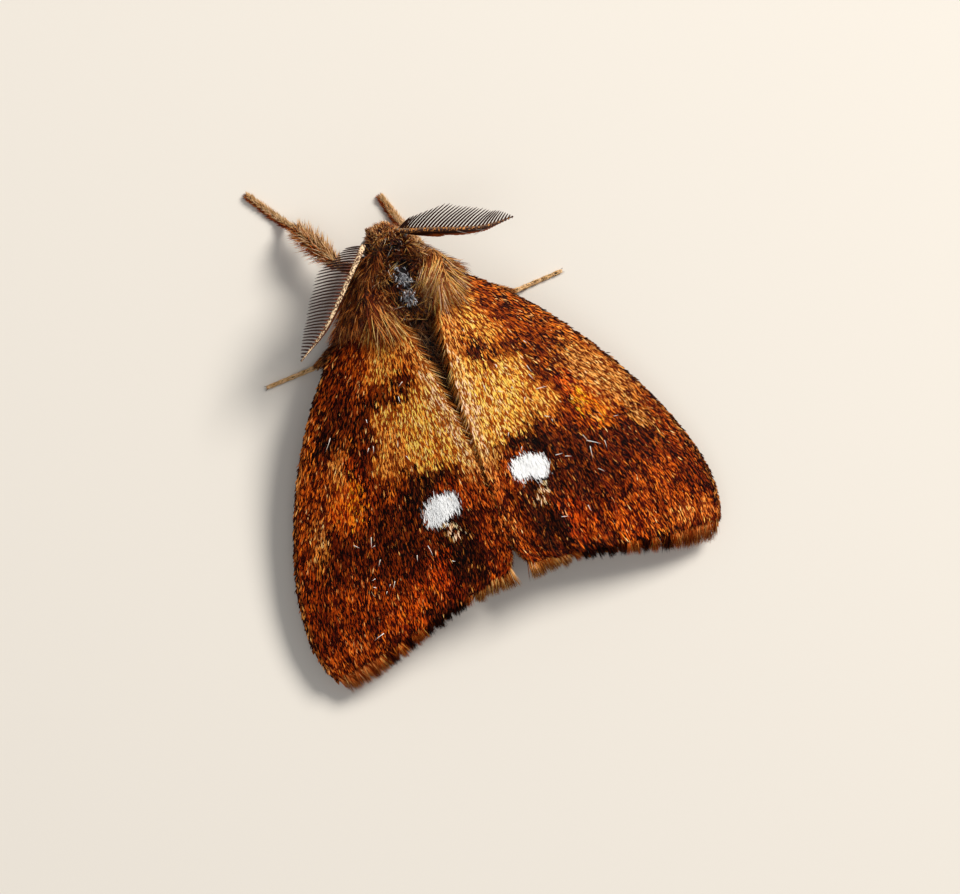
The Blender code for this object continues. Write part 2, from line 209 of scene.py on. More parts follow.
def group(name, inputs, outputs):
    """A new node group with named sockets. Returns its tree, what it is given, and where its results go."""
    tree = bpy.data.node_groups.new(name, "ShaderNodeTree")
    for title, kind, value in inputs:
        socket = tree.interface.new_socket(title, in_out="INPUT", socket_type="NodeSocket" + kind)
        if value is not None:
            socket.default_value = value
    for title, kind in outputs:
        tree.interface.new_socket(title, in_out="OUTPUT", socket_type="NodeSocket" + kind)
    return tree, tree.nodes.new("NodeGroupInput").outputs, tree.nodes.new("NodeGroupOutput").inputs


def use(tree, made, **inputs):
    """Places a group in a tree. inputs go by socket name, with _ for a space."""
    placed = tree.nodes.new("ShaderNodeGroup")
    placed.node_tree = made
    for key, value in inputs.items():
        socket = placed.inputs[key.replace("_", " ")]
        if isinstance(value, bpy.types.NodeSocket):
            tree.links.new(value, socket)
        else:
            socket.default_value = value
    return placed.outputs


def make_patch_group():
    """A soft-edged oval: 1 inside, 0 outside."""
    tree, given, result = group(
        "soft_patch",
        [("Place", "Vector", None), ("Centre", "Vector", None), ("Half size", "Vector", (1, 1, 1)),
         ("Turn", "Float", 0.0), ("Softness", "Float", 0.3)],
        [("Mask", "Float")],
    )
    away = vector_maths(tree, "SUBTRACT", given["Place"], given["Centre"])
    turned = add(tree, "ShaderNodeVectorRotate", away, None, None, given["Turn"], rotation_type="Z_AXIS")
    sized = vector_maths(tree, "DIVIDE", turned.outputs[0], given["Half size"])
    reach = add(tree, "ShaderNodeVectorMath", sized, operation="LENGTH").outputs["Value"]
    edge = maths(tree, "ADD", 1.0, given["Softness"])
    inner = maths(tree, "SUBTRACT", 1.0, given["Softness"])
    tree.links.new(ramp(tree, reach, edge, inner), result["Mask"])
    return tree


def make_tone_group():
    """Gives each hair or scale a shade of its own, which differs most where the markings are dark."""
    tree, given, result = group(
        "scale_tone",
        [("Colour", "Color", (0.5, 0.5, 0.5, 1)), ("Tone", "Float", 0.5), ("Place", "Vector", None),
         ("Spread", "Float", 1.0), ("Clusters", "Float", 1.0), ("Cluster scale", "Float", 5.0),
         ("Shade", "Float", 0.0)],
        [("Colour", "Color")],
    )
    brightness = add(tree, "ShaderNodeRGBToBW", given["Colour"]).outputs[0]
    strength = ramp(tree, brightness, 0.02, 0.25, 2.0, 1.0)
    spread = maths(tree, "MULTIPLY", given["Spread"], strength)
    own = maths(tree, "MULTIPLY", ramp(tree, given["Tone"], 0.0, 1.0, -1.0, 1.0, smooth=False), spread)
    cluster = noise(tree, given["Place"], given["Cluster scale"], 3.0, 0.65)["Fac"]
    cluster = ramp(tree, cluster, 0.25, 0.75, -1.0, 1.0, smooth=False)
    shared = maths(tree, "MULTIPLY_ADD", cluster, given["Clusters"], given["Shade"])
    shared = maths(tree, "MULTIPLY", shared, strength)
    stops = maths(tree, "ADD", own, shared)
    balance = maths(tree, "MULTIPLY", maths(tree, "MULTIPLY", spread, spread), 0.14)
    channels = []
    for share in TONE_SHARES:
        loss = maths(tree, "MULTIPLY", balance, -share * share)
        channels.append(maths(tree, "POWER", 2.0, maths(tree, "MULTIPLY_ADD", stops, share, loss)))
    shaded = vector_maths(tree, "MULTIPLY", given["Colour"], vector(tree, *channels))
    tree.links.new(vector_maths(tree, "MINIMUM", shaded, BRIGHTEST_TONE), result["Colour"])
    return tree


def ragged_places(tree, place, tone, second_tone, left):
    """The place moved about, far for the soft markings and a little for the white spot.

    On the left wing the spot lies a little further out and back.
    """
    def moved(by, reach, start):
        return vector_maths(tree, "MULTIPLY_ADD", by, reach, start)

    scatter = vector(tree, maths(tree, "SUBTRACT", tone, 0.5), maths(tree, "SUBTRACT", second_tone, 0.5))
    clouds = (noise(tree, place, 0.9, 3.0, 0.6)["Color"], noise(tree, place, 4.5, 3.0, 0.65)["Color"])
    coarse, fine = (vector_maths(tree, "SUBTRACT", cloud, (0.5, 0.5, 0.5)) for cloud in clouds)
    warped = moved(coarse, (1.7, 1.7, 0.0), moved(scatter, (0.3, 0.42, 0.0), place))
    crisp = moved(vector(tree, left, left), (-0.16, -0.18, 0.0), moved(scatter, (0.14, 0.22, 0.0), place))
    return moved(fine, (1.6, 1.6, 0.0), warped), moved(fine, (0.42, 0.42, 0.0), crisp)


def lay_patches(tree, patch, patches, colour, place, share=None):
    """Lays soft ovals of paint over a colour, each only by the share where one is given."""
    for x, y, half_x, half_y, turn, softness, strength, paint in patches:
        mask = use(tree, patch, Place=place, Centre=(x, y, 0), Half_size=(half_x, half_y, FLAT),
                   Turn=math.radians(turn), Softness=softness)["Mask"]
        mask = maths(tree, "MULTIPLY", mask, strength)
        if share is not None:
            mask = maths(tree, "MULTIPLY", mask, share)
        colour = mix(tree, mask, colour, paint)
    return colour


def along_the_veins(tree, across, y, columns, rows, detail, roughness):
    """Noise drawn out lengthwise over the wing."""
    place = vector(tree, maths(tree, "MULTIPLY", across, columns), maths(tree, "MULTIPLY", y, rows))
    return noise(tree, place, 1.0, detail, roughness)["Fac"]


def fringe_colour(tree, x, tip):
    """Chequered brown and tan, dark towards the inner corner, and darkest at the hairs' roots."""
    chequer = maths(tree, "SINE", maths(tree, "MULTIPLY", x, 7.4))
    colour = mix(tree, ramp(tree, chequer, -0.5, 0.4), srgb(58, 28, 15), srgb(216, 114, 52))
    dark_end = ramp(tree, maths(tree, "ABSOLUTE", maths(tree, "SUBTRACT", x, 2.95)), 0.95, 0.7)
    colour = mix(tree, dark_end, colour, srgb(40, 20, 12))
    colour = mix(tree, ramp(tree, x, 5.9, 6.7, 0.0, 0.75), colour, srgb(220, 134, 80))
    colour = mix(tree, ramp(tree, x, 2.0, 1.75), colour, srgb(206, 146, 92))
    return mix(tree, ramp(tree, tip, 0.45, 0.05), colour, srgb(54, 26, 13))


def make_wing_group(patch):
    """The forewing's markings over its plan in millimetres, with X counted outwards from the body, and
    painted shade on the left wing.
    """
    tree, given, result = group(
        "forewing_markings",
        [("Place", "Vector", None), ("Across", "Float", 0.5), ("Tone", "Float", 0.5),
         ("Fringe", "Float", 0.0), ("Tip", "Float", 0.0), ("Left", "Float", 0.0)],
        [("Colour", "Color"), ("White", "Float"), ("Shade", "Float")],
    )
    place, across, left = given["Place"], given["Across"], given["Left"]
    second_tone = maths(tree, "FRACT", maths(tree, "MULTIPLY", given["Tone"], 17.3))
    ragged, crisp = ragged_places(tree, place, given["Tone"], second_tone, left)

    ground = ramp(tree, noise(tree, place, 1.7, 3.0, 0.6)["Fac"], 0.35, 0.65)
    colour = mix(tree, ground, srgb(124, 58, 24), srgb(150, 76, 30))
    colour = lay_patches(tree, patch, WING_PATCHES, colour, ragged)
    # Left-only paint: markings of that wing, and a dark patch by its front edge that is mostly painted shade.
    colour = lay_patches(tree, patch, LEFT_PATCHES_AND_SHADE, colour, ragged, left)
    # Painted shade: the whole left wing is multiplied darker and redder, for the softer light on that side.
    colour = mix(tree, left, colour, (1.0, 0.9, 0.86), "MULTIPLY")
    speckles = ramp(tree, second_tone, 0.92, 0.96, 0.0, 0.3)
    colour = mix(tree, speckles, colour, srgb(236, 170, 122))

    x, y, _ = add(tree, "ShaderNodeSeparateXYZ", place).outputs
    streak = ramp(tree, along_the_veins(tree, across, y, 30.0, 0.4, 2.0, 0.6), 0.36, 0.62, 1.0, 0.0)
    colour = mix(tree, maths(tree, "MULTIPLY", streak, ramp(tree, y, 5.5, 9.5, 0.1, 0.55)), colour,
                 srgb(40, 20, 11))
    grain = along_the_veins(tree, across, y, 110.0, 4.6, 1.5, 0.5)
    grain = ramp(tree, grain, 0.28, 0.72, -1.0, 1.0, smooth=False)
    tree.links.new(maths(tree, "MULTIPLY", grain, GRAIN), result["Shade"])
    colour = mix(tree, ramp(tree, across, 0.97, 0.99, 0.0, 0.7), colour, srgb(112, 84, 74))

    spot, bite, fleck_zone = (
        use(tree, patch, Place=where, Centre=(*centre, 0), Half_size=(*half, FLAT), Turn=math.radians(turn),
            Softness=softness)["Mask"]
        for where, centre, half, turn, softness in ((crisp, *SPOT), (crisp, *SPOT_BITE), (place, *FLECKS))
    )
    flecks = ramp(tree, noise(tree, place, 5.0, 1.0)["Fac"], 0.5, 0.58)
    colour = mix(tree, maths(tree, "MULTIPLY", fleck_zone, flecks), colour, srgb(246, 216, 186))
    colour = mix(tree, given["Fringe"], colour, fringe_colour(tree, x, given["Tip"]))
    tree.links.new(colour, result["Colour"])
    white = maths(tree, "MULTIPLY", spot, maths(tree, "SUBTRACT", 1.0, bite))
    bare = maths(tree, "SUBTRACT", 1.0, given["Fringe"])
    tree.links.new(maths(tree, "MULTIPLY", white, bare), result["White"])
    return tree


# Markings of the forewing, in the order they are laid: centre, half sizes, turn in degrees, softness,
# strength and paint.
GOLD, TAN, ORANGE, RUST = srgb(247, 170, 78), srgb(196, 128, 72), srgb(240, 122, 18), srgb(176, 72, 20)
BROWN, DARK, BLACKISH = srgb(92, 43, 17), srgb(60, 28, 13), srgb(40, 19, 11)
WING_PATCHES = [
    (4.2, 3.7, 1.45, 3.8, 36, 0.35, 0.85, srgb(158, 86, 36)),
    (3.2, 1.9, 0.4, 1.3, 42, 0.5, 0.45, DARK),
    (4.5, 4.0, 0.42, 1.4, 38, 0.5, 0.55, DARK),
    (0.75, 2.4, 0.5, 1.6, -8, 0.4, 0.85, srgb(226, 146, 78)),
    (1.9, 2.0, 0.62, 1.2, 14, 0.5, 0.9, srgb(218, 136, 56)),
    (2.05, 2.5, 0.32, 0.45, 10, 0.5, 0.6, srgb(226, 152, 72)),
    (1.3, 0.9, 0.6, 0.9, 0, 0.4, 0.8, srgb(158, 100, 48)),
    (1.3, 5.2, 2.15, 1.65, 8, 0.36, 1.0, GOLD),
    (3.1, 5.3, 0.9, 1.2, 14, 0.45, 0.75, srgb(236, 150, 68)),
    (0.3, 5.0, 0.5, 2.2, 0, 0.5, 0.85, srgb(255, 212, 146)),
    (0.3, 7.2, 0.35, 0.8, 0, 0.5, 0.7, TAN),
    (1.7, 3.4, 0.6, 0.34, -14, 0.4, 0.95, srgb(70, 34, 16)),
    (2.75, 3.62, 0.6, 0.32, -20, 0.45, 0.85, srgb(78, 38, 17)),
    (0.85, 2.7, 0.3, 0.5, 0, 0.5, 0.55, BROWN),
    (3.4, 4.35, 0.36, 0.8, 22, 0.45, 0.85, DARK),
    (4.1, 5.5, 0.4, 1.2, 10, 0.45, 0.8, srgb(104, 48, 20)),
    (5.7, 5.6, 0.8, 1.7, 36, 0.45, 0.85, srgb(196, 128, 68)),
    (4.95, 6.55, 0.5, 0.75, 12, 0.35, 1.0, ORANGE),
    (4.5, 5.65, 0.24, 0.6, 10, 0.5, 0.6, srgb(186, 72, 14)),
    (5.6, 7.1, 0.6, 0.5, 20, 0.5, 0.6, srgb(198, 110, 36)),
    (3.5, 8.3, 1.9, 1.45, 0, 0.3, 0.95, srgb(82, 40, 20)),
    (5.7, 8.6, 1.4, 1.2, 10, 0.45, 0.85, srgb(90, 44, 22)),
    (4.95, 8.6, 0.25, 1.0, 0, 0.5, 0.6, srgb(126, 64, 30)),
    (0.6, 8.8, 0.6, 1.4, 0, 0.35, 0.85, srgb(166, 86, 46)),
    (0.3, 9.6, 0.16, 1.6, 0, 0.5, 0.4, srgb(140, 104, 80)),
    (1.8, 6.95, 1.0, 0.42, 0, 0.35, 1.0, srgb(44, 21, 11)),
    (2.6, 7.6, 0.5, 0.85, 0, 0.5, 0.9, srgb(44, 20, 12)),
    (1.65, 8.85, 0.95, 0.5, 0, 0.4, 0.9, srgb(54, 26, 13)),
    (6.75, 7.8, 0.24, 0.9, 22, 0.5, 0.6, srgb(186, 130, 80)),
    (4.3, 9.75, 1.7, 0.5, -4, 0.5, 0.6, srgb(86, 40, 16)),
    (2.75, 10.4, 0.58, 0.6, 0, 0.4, 0.95, RUST),
    (4.7, 11.15, 1.3, 0.5, -10, 0.4, 0.9, srgb(158, 74, 22)),
    (6.3, 10.7, 1.15, 1.25, 0, 0.45, 0.85, srgb(188, 94, 36)),
    (6.8, 11.9, 1.2, 0.55, -6, 0.4, 0.85, srgb(208, 112, 52)),
    (4.7, 11.5, 0.5, 0.3, -10, 0.5, 0.7, srgb(190, 84, 22)),
    (1.6, 10.25, 0.75, 0.95, 0, 0.3, 0.95, srgb(50, 23, 12)),
    (2.05, 10.6, 0.2, 0.8, 0, 0.5, 0.85, srgb(30, 14, 8)),
    (5.75, 10.9, 0.4, 0.35, 0, 0.5, 0.6, BROWN),
    (7.35, 9.9, 0.35, 1.3, 8, 0.4, 0.5, DARK),
    (3.2, 11.75, 1.5, 0.24, -17, 0.5, 0.9, BLACKISH),
    (5.7, 12.42, 1.3, 0.17, -13, 0.5, 0.75, BLACKISH),
]
LEFT_PATCHES_AND_SHADE = [  # on the left wing only; the first, dark one by the front edge is mostly painted shade where that wing slopes away from the light
    (3.6, 1.35, 0.45, 1.9, 42, 0.4, 0.85, srgb(66, 30, 18)),
    (3.1, 5.7, 0.5, 1.1, 14, 0.5, 0.55, srgb(150, 88, 40)),
    (2.5, 1.5, 0.4, 0.6, 20, 0.5, 0.6, srgb(170, 96, 46)),
    (4.75, 3.9, 0.55, 1.4, 36, 0.4, 0.95, srgb(50, 23, 16)),
    (4.0, 3.5, 0.5, 1.2, 30, 0.5, 0.5, srgb(92, 44, 24)),
    (6.1, 5.7, 0.7, 1.5, 36, 0.4, 0.8, srgb(134, 64, 26)),
    (3.5, 10.55, 0.7, 0.38, -10, 0.45, 0.8, srgb(190, 84, 26)),
    (2.2, 10.0, 0.4, 0.9, 0, 0.45, 0.85, srgb(48, 22, 13)),
    (6.2, 10.9, 0.9, 0.6, 0, 0.5, 0.6, srgb(104, 46, 20)),
    (7.0, 11.8, 0.8, 0.6, 0, 0.5, 0.6, srgb(130, 60, 26)),
    (5.35, 4.4, 0.26, 0.45, 30, 0.4, 0.9, srgb(34, 15, 11)),
    (3.75, 4.7, 0.5, 1.5, 16, 0.5, 0.6, srgb(74, 34, 18)),
    (2.2, 3.6, 1.15, 0.38, -14, 0.45, 0.75, srgb(66, 31, 17)),
    (4.45, 5.7, 0.3, 0.9, 10, 0.5, 0.6, srgb(96, 44, 18)),
    (5.45, 6.7, 0.5, 0.65, 10, 0.4, 0.85, srgb(206, 92, 16)),
]
# The white spot, the bite out of it and the pale flecks behind it: centre, half sizes, turn and softness.
SPOT = ((1.78, 8.02), (0.74, 0.56), -14, 0.06)
SPOT_BITE = ((1.46, 8.8), (0.5, 0.46), 0, 0.08)
FLECKS = ((1.82, 9.12), (0.24, 0.46), -42, 0.5)
FLAT = 1000.0  # a patch's half height, so that the wing's height doesn't count
GRAIN = 0.6  # how far light and dark rows of scales part, in stops


def attribute(tree, name):
    """The X, Y and Z of one of the pieces' own attributes, and the vector."""
    found = add(tree, "ShaderNodeAttribute", attribute_name=name).outputs["Vector"]
    return (*add(tree, "ShaderNodeSeparateXYZ", found).outputs, found)


def new_material(name, roughness=0.6, specular=0.15, coat=0.0):
    """A material with its Principled shader ready. Returns the material, its tree and the shader."""
    made = bpy.data.materials.new(name)
    made.use_nodes = True
    tree = made.node_tree
    shader = tree.nodes["Principled BSDF"]
    shader.inputs["Roughness"].default_value = roughness
    shader.inputs["Specular IOR Level"].default_value = specular
    shader.inputs["Coat Weight"].default_value = coat
    return made, tree, shader


def mirrored_place(tree, x, y):
    """The plan position with X counted outwards from the body."""
    return vector(tree, maths(tree, "ABSOLUTE", x), y)


TONE_GROUP = make_tone_group()
WING_GROUP = make_wing_group(make_patch_group())


def toned(tree, colour, tone, place, **settings):
    """The colour with each hair's own shade."""
    return use(tree, TONE_GROUP, Colour=colour, Tone=tone, Place=place, **settings)["Colour"]


def forewing_colour(tree, _):
    x, y, across, _ = attribute(tree, "root")
    tone, tip, kind, _ = attribute(tree, "hair")
    place = mirrored_place(tree, x, y)
    left = maths(tree, "GREATER_THAN", x, 0.0)
    marked = use(tree, WING_GROUP, Place=place, Across=across, Tone=tone, Fringe=kind, Tip=tip, Left=left)
    scales = toned(tree, marked["Colour"], tone, place, Spread=2.8, Clusters=0.22, Cluster_scale=2.6,
                   Shade=marked["Shade"])
    white = mix(tree, tone, (0.88, 0.88, 0.87), (1.0, 1.0, 1.0))
    return mix(tree, marked["White"], scales, white)


def hindwing_colour(tree, _):
    """Orange-brown, with a dark edge by the kind."""
    *_, root = attribute(tree, "root")
    tone, _, kind, _ = attribute(tree, "hair")
    cloud = ramp(tree, noise(tree, root, 0.9, 3.0)["Fac"], 0.35, 0.65)
    ground = mix(tree, cloud, srgb(176, 98, 36), srgb(146, 76, 28))
    return toned(tree, mix(tree, kind, ground, srgb(86, 44, 20)), tone, root, Spread=0.7, Clusters=0.6)


def body_colour(tree, shader):
    """Brown fur, darkest on the middle of the back. Kind 1 is tan, 2 is pale and -1 is a painted glint: pale
    grey reflected light.
    """
    x, y, z, root = attribute(tree, "root")
    tone, tip, kind, _ = attribute(tree, "hair")
    beside = ramp(tree, maths(tree, "ABSOLUTE", x), 0.35, 1.0)
    side = maths(tree, "MAXIMUM", beside, ramp(tree, y, -1.6, -2.3))
    roots = mix(tree, side, srgb(24, 16, 13), srgb(46, 27, 18))
    tips = mix(tree, side, srgb(100, 76, 64), srgb(196, 138, 102))
    under = ramp(tree, z, 1.9, 1.2)
    tips = mix(tree, maths(tree, "MULTIPLY", under, 0.7), tips, srgb(150, 104, 62))
    tips = mix(tree, ramp(tree, kind, 0.0, 1.0), tips, srgb(190, 142, 94))
    ground = mix(tree, ramp(tree, tip, 0.1, 0.9), roots, tips)
    fur = toned(tree, ground, tone, root, Spread=3.3, Clusters=0.9, Cluster_scale=3.5)
    fur = mix(tree, ramp(tree, kind, 1.2, 2.0), fur, srgb(236, 222, 204))
    # Kind -1 is a painted reflection: pale blue-grey colour for light that glossy scales throw back. Their
    # roughness is also lowered, so they really shine too.
    glint = ramp(tree, kind, 0.0, -1.0)
    painted_glint = mix(tree, ramp(tree, tone, 0.1, 1.0), srgb(58, 52, 54), srgb(246, 246, 252))
    roughness = maths(tree, "SUBTRACT", 0.5, maths(tree, "MULTIPLY", glint, 0.25))
    tree.links.new(roughness, shader.inputs["Roughness"])
    return mix(tree, glint, fur, painted_glint)


def abdomen_colour(tree, _):
    """Brown, more golden at the tail. Hairs with a kind are paler towards their tips."""
    _, y, z, root = attribute(tree, "root")
    tone, tip, kind, _ = attribute(tree, "hair")
    ground = mix(tree, ramp(tree, z, 2.2, 1.1), srgb(130, 84, 54), srgb(132, 88, 50))
    ground = mix(tree, ramp(tree, y, 8.0, 9.6), ground, srgb(150, 98, 54))
    ground = mix(tree, maths(tree, "MULTIPLY", kind, ramp(tree, tip, 0.0, 0.6)), ground, srgb(150, 108, 64))
    return toned(tree, ground, tone, root, Spread=1.0, Clusters=0.5)


def shoulder_colour(tree, _):
    """Golden hairs, or dark ones where kind is 1. The left side's gold is painted darker and redder, as
    shade.
    """
    x, _, _, root = attribute(tree, "root")
    tone, tip, kind, _ = attribute(tree, "hair")
    golden = mix(tree, ramp(tree, tip, 0.0, 0.5), srgb(158, 100, 58), srgb(252, 180, 108))
    # Painted shade: the left fan's gold is multiplied darker and redder, for the softer light on that side.
    golden = mix(tree, maths(tree, "GREATER_THAN", x, 0.0), golden, (0.88, 0.66, 0.6), "MULTIPLY")
    dark = mix(tree, ramp(tree, tip, 0.2, 1.0), srgb(40, 21, 14), srgb(132, 80, 54))
    return toned(tree, mix(tree, kind, golden, dark), tone, root, Spread=2.7, Clusters=0.4)


def leg_colour(tree, _):
    """Olive-brown hair, cream scales where kind is 1, and dark red-brown ones where it is -1. On the forelegs
    kind follows the way a hair faces, so the cream there is painted light.
    """
    *_, root = attribute(tree, "root")
    tone, tip, kind, _ = attribute(tree, "hair")
    cloud = ramp(tree, noise(tree, root, 2.2)["Fac"], 0.42, 0.6)
    ground = mix(tree, cloud, srgb(80, 42, 20), srgb(166, 98, 48))
    ground = mix(tree, ramp(tree, tip, 0.3, 1.0, 0.0, 0.6), ground, srgb(218, 156, 90))
    ground = mix(tree, ramp(tree, kind, 0.0, 1.0), ground, srgb(230, 190, 136))
    ground = mix(tree, ramp(tree, kind, 0.0, -1.0), ground, srgb(192, 90, 38))
    return toned(tree, ground, tone, root, Spread=ramp(tree, kind, 0.0, 1.0, 2.0, 0.5), Clusters=0.5)


def stray_hair_colour(tree, _):
    tone, *_ = attribute(tree, "hair")
    return mix(tree, ramp(tree, tone, 0.2, 0.9), srgb(238, 226, 210), srgb(255, 252, 248))


def add_bump(tree, shader, strength, depth, height):
    bump = add(tree, "ShaderNodeBump", strength, depth, None, height)
    tree.links.new(bump.outputs[0], shader.inputs["Normal"])


def stem_colour(tree, shader):
    """Cream scales with brown specks, or brown ones with orange specks where kind is 1."""
    place = add(tree, "ShaderNodeTexCoord").outputs["Object"]
    _, _, kind, _ = attribute(tree, "hair")
    speck = noise(tree, place, 15000.0)["Fac"]
    add_bump(tree, shader, 0.5, 0.00002, speck)
    cream = mix(tree, ramp(tree, speck, 0.46, 0.54), srgb(246, 212, 168), srgb(92, 52, 30))
    brown = mix(tree, ramp(tree, speck, 0.54, 0.62), srgb(60, 29, 15), srgb(222, 146, 70))
    return mix(tree, kind, cream, brown)


def tooth_colour(tree, _):
    """Dark brown, with orange tips by the kind."""
    _, tip, kind, _ = attribute(tree, "hair")
    shade = mix(tree, ramp(tree, tip, 0.0, 0.3), srgb(112, 54, 30), srgb(50, 22, 12))
    edge = maths(tree, "MULTIPLY", kind, ramp(tree, tip, 0.5, 0.85))
    return mix(tree, edge, shade, srgb(204, 96, 32))


def eye_colour(tree, shader):
    """Near black, with fine facets."""
    place = add(tree, "ShaderNodeTexCoord").outputs["Object"]
    facets = add(tree, "ShaderNodeTexVoronoi", place, None, 26000.0, feature="F1").outputs["Distance"]
    add_bump(tree, shader, 0.6, 0.00001, maths(tree, "MULTIPLY", facets, -1.0))
    return mix(tree, facets, srgb(46, 30, 22), srgb(16, 12, 12))


def claw_colour(tree, _):
    place = add(tree, "ShaderNodeTexCoord").outputs["Object"]
    return mix(tree, noise(tree, place, 9000.0)["Fac"], srgb(50, 28, 16), srgb(96, 58, 30))


# Every finish: the function that gives its colour, then its roughness, its shine and its clear coat.
FINISHES = {
    "forewing_scales": (forewing_colour, 0.6, 0.05),
    "hindwing_scales": (hindwing_colour, 0.62, 0.06),
    "body_hair": (body_colour, 0.5, 0.25),
    "abdomen_hair": (abdomen_colour, 0.5, 0.25),
    "shoulder_hair": (shoulder_colour, 0.48, 0.2),
    "leg_hair": (leg_colour, 0.55, 0.15),
    "pale_stray_hair": (stray_hair_colour, 0.4, 0.4),
    "antenna_stem": (stem_colour, 0.5, 0.3),
    "antenna_tooth": (tooth_colour, 0.5, 0.2),
    "eye": (eye_colour, 0.14, 0.5, 0.4),
    "claw": (claw_colour, 0.3, 0.5),
}


def make_materials():
    """Every finish's material, by name."""
    materials = {}
    for name, (colour_of, *shine) in FINISHES.items():
        materials[name], tree, shader = new_material(name, *shine)
        tree.links.new(colour_of(tree, shader), shader.inputs["Base Color"])
    return materials


# ---------------------------------------------------------------- shapes as functions

def evenly_spaced(line, count):
    """count rows evenly spaced along a line of rows, whose first three numbers are its place."""
    run = np.concatenate([[0], np.cumsum(np.linalg.norm(np.diff(line[:, :3], axis=0), axis=1))])
    wanted = np.linspace(0, run[-1], count)
    return np.stack([np.interp(wanted, run, column) for column in line.T], axis=1)


def smooth_through(stations, count):
    """count evenly spaced rows on a smooth curve through the stations."""
    rows = np.array(stations, float)
    padded = np.vstack([2 * rows[0] - rows[1], rows, 2 * rows[-1] - rows[-2]])
    u = np.linspace(0, 1, 24, endpoint=False)[:, None]
    fine = []
    for i in range(1, len(padded) - 2):
        a, b, c, d = padded[i - 1 : i + 3]
        fine.append(0.5 * (2 * b + (c - a) * u + (2 * a - 5 * b + 4 * c - d) * u**2
                           + (3 * b - a - 3 * c + d) * u**3))
    return evenly_spaced(np.vstack([*fine, rows[-1:]]), count)


def bezier_chain(controls, count=400):
    """Points evenly spaced along a chain of Bezier curves in plan."""
    u = np.linspace(0, 1, 200)[:, None]
    fine = []
    for i in range(0, len(controls) - 1, 3):
        a, b, c, d = (np.array(p) for p in controls[i : i + 4])
        fine.append(a * (1 - u) ** 3 + 3 * b * u * (1 - u) ** 2 + 3 * c * u**2 * (1 - u) + d * u**3)
    return evenly_spaced(np.vstack(fine), count)


def points_along(path, share):
    """Points at shares of a line of points, and the number of the stretch that each lies on."""
    at = share * (len(path) - 1)
    index = np.minimum(at.astype(int), len(path) - 2)
    part = (at - index)[:, None]
    return path[index] * (1 - part) + path[index + 1] * part, index


COSTA_LINE, DORSUM_LINE = {side: bezier_chain(COSTA[side]) for side in COSTA}, bezier_chain(DORSUM)


def forewing_at(side, across, along):
    """Points on the forewing's upper side, at the tips of its scales."""
    across, along = np.maximum(across, 0.0), np.maximum(along, 0.0)
    share = np.linspace(0, 1, len(DORSUM_LINE))
    inner = [np.interp(along, share, DORSUM_LINE[:, k]) for k in (0, 1)]
    outer = [np.interp(along, share, COSTA_LINE[side][:, k]) for k in (0, 1)]
    x = inner[0] + (outer[0] - inner[0]) * across
    y = inner[1] + (outer[1] - inner[1]) * across + TERMEN_BULGE * across**3 * (1 - across) * along**6
    pleat = VEIN_RELIEF * np.cos(math.tau * VEINS * across) * np.clip((along - 0.3) * 2, 0, 1)
    ridge = RIDGE_HEIGHT[0] - RIDGE_HEIGHT[1] * along ** RIDGE_HEIGHT[2] + pleat - VEIN_RELIEF
    edge = COSTA_HEIGHT[0] - COSTA_HEIGHT[1] * (1 - (1 - np.clip(along, 0, 1)) ** COSTA_HEIGHT[2])
    return np.stack([side * x, y, ridge - (ridge - edge) * across**ROOF_POWER], axis=-1)


def hindwing_at(side, across, along):
    """Points on the hindwing's upper side."""
    inner, outer = HINDWING_ACROSS
    start, end = HINDWING_ALONG
    outer = outer - HINDWING_CORNER * (outer - inner) * along**5
    place = forewing_at(side, inner + (outer - inner) * across,
                        start + (end - start) * along * (1 - 0.07 * (1 - across) ** 2))
    return place - [0, 0, HINDWING_DROP]


TRUNK_LINE = smooth_through(TRUNK, 600)


def trunk_sizes(y):
    """The trunk's half width, half height and the height of its middle, at the tips of the hair."""
    return [np.interp(y, TRUNK_LINE[:, 0], TRUNK_LINE[:, k]) for k in (1, 2, 3)]


def hair_depth(y):
    return np.interp(y, *np.array(HAIR_DEPTH).T)


def trunk_at(turn, y, lift=0.0):
    """Points on the skin of the trunk, turn round from the left side over the back, lift above it."""
    width, height, middle = trunk_sizes(y)
    depth = hair_depth(y) - lift
    return np.stack([(width - depth) * np.cos(turn), y + 0 * turn, middle + (height - depth) * np.sin(turn)],
                    axis=-1)


def unit(vectors):
    return vectors / np.maximum(np.linalg.norm(vectors, axis=-1, keepdims=True), 1e-9)


def surface_frame(place_at, first, second, step=0.004):
    """Position, direction along the second number, and outward normal of a surface given by two numbers."""
    here = place_at(first, second)
    across = place_at(first + step, second) - place_at(first - step, second)
    along = place_at(first, second + step) - place_at(first, second - step)
    normal = unit(np.cross(across, along))
    return here, unit(along), normal


# ---------------------------------------------------------------- meshes

def new_object(name, content):
    made = bpy.data.objects.new(name, content)
    bpy.context.scene.collection.objects.link(made)
    return made


def add_piece(mesh, finish, *replaced, slot=None):
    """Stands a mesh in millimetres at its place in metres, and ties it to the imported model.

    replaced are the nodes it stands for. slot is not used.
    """
    mesh.transform(Matrix.Translation(SHIFT * MM) @ Matrix.Scale(MM, 4))
    mesh.materials.append(MATERIALS[finish])
    piece = new_object(mesh.name, mesh)
    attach(piece, "root")
    if replaced:
        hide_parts(*replaced)


def tag(mesh, root, hair):
    """Stores the root and hair attributes."""
    for title, values in (("root", root), ("hair", hair)):
        layer = mesh.attributes.new(title, "FLOAT_VECTOR", "POINT")
        layer.data.foreach_set("vector", np.ascontiguousarray(values, np.float32).ravel())


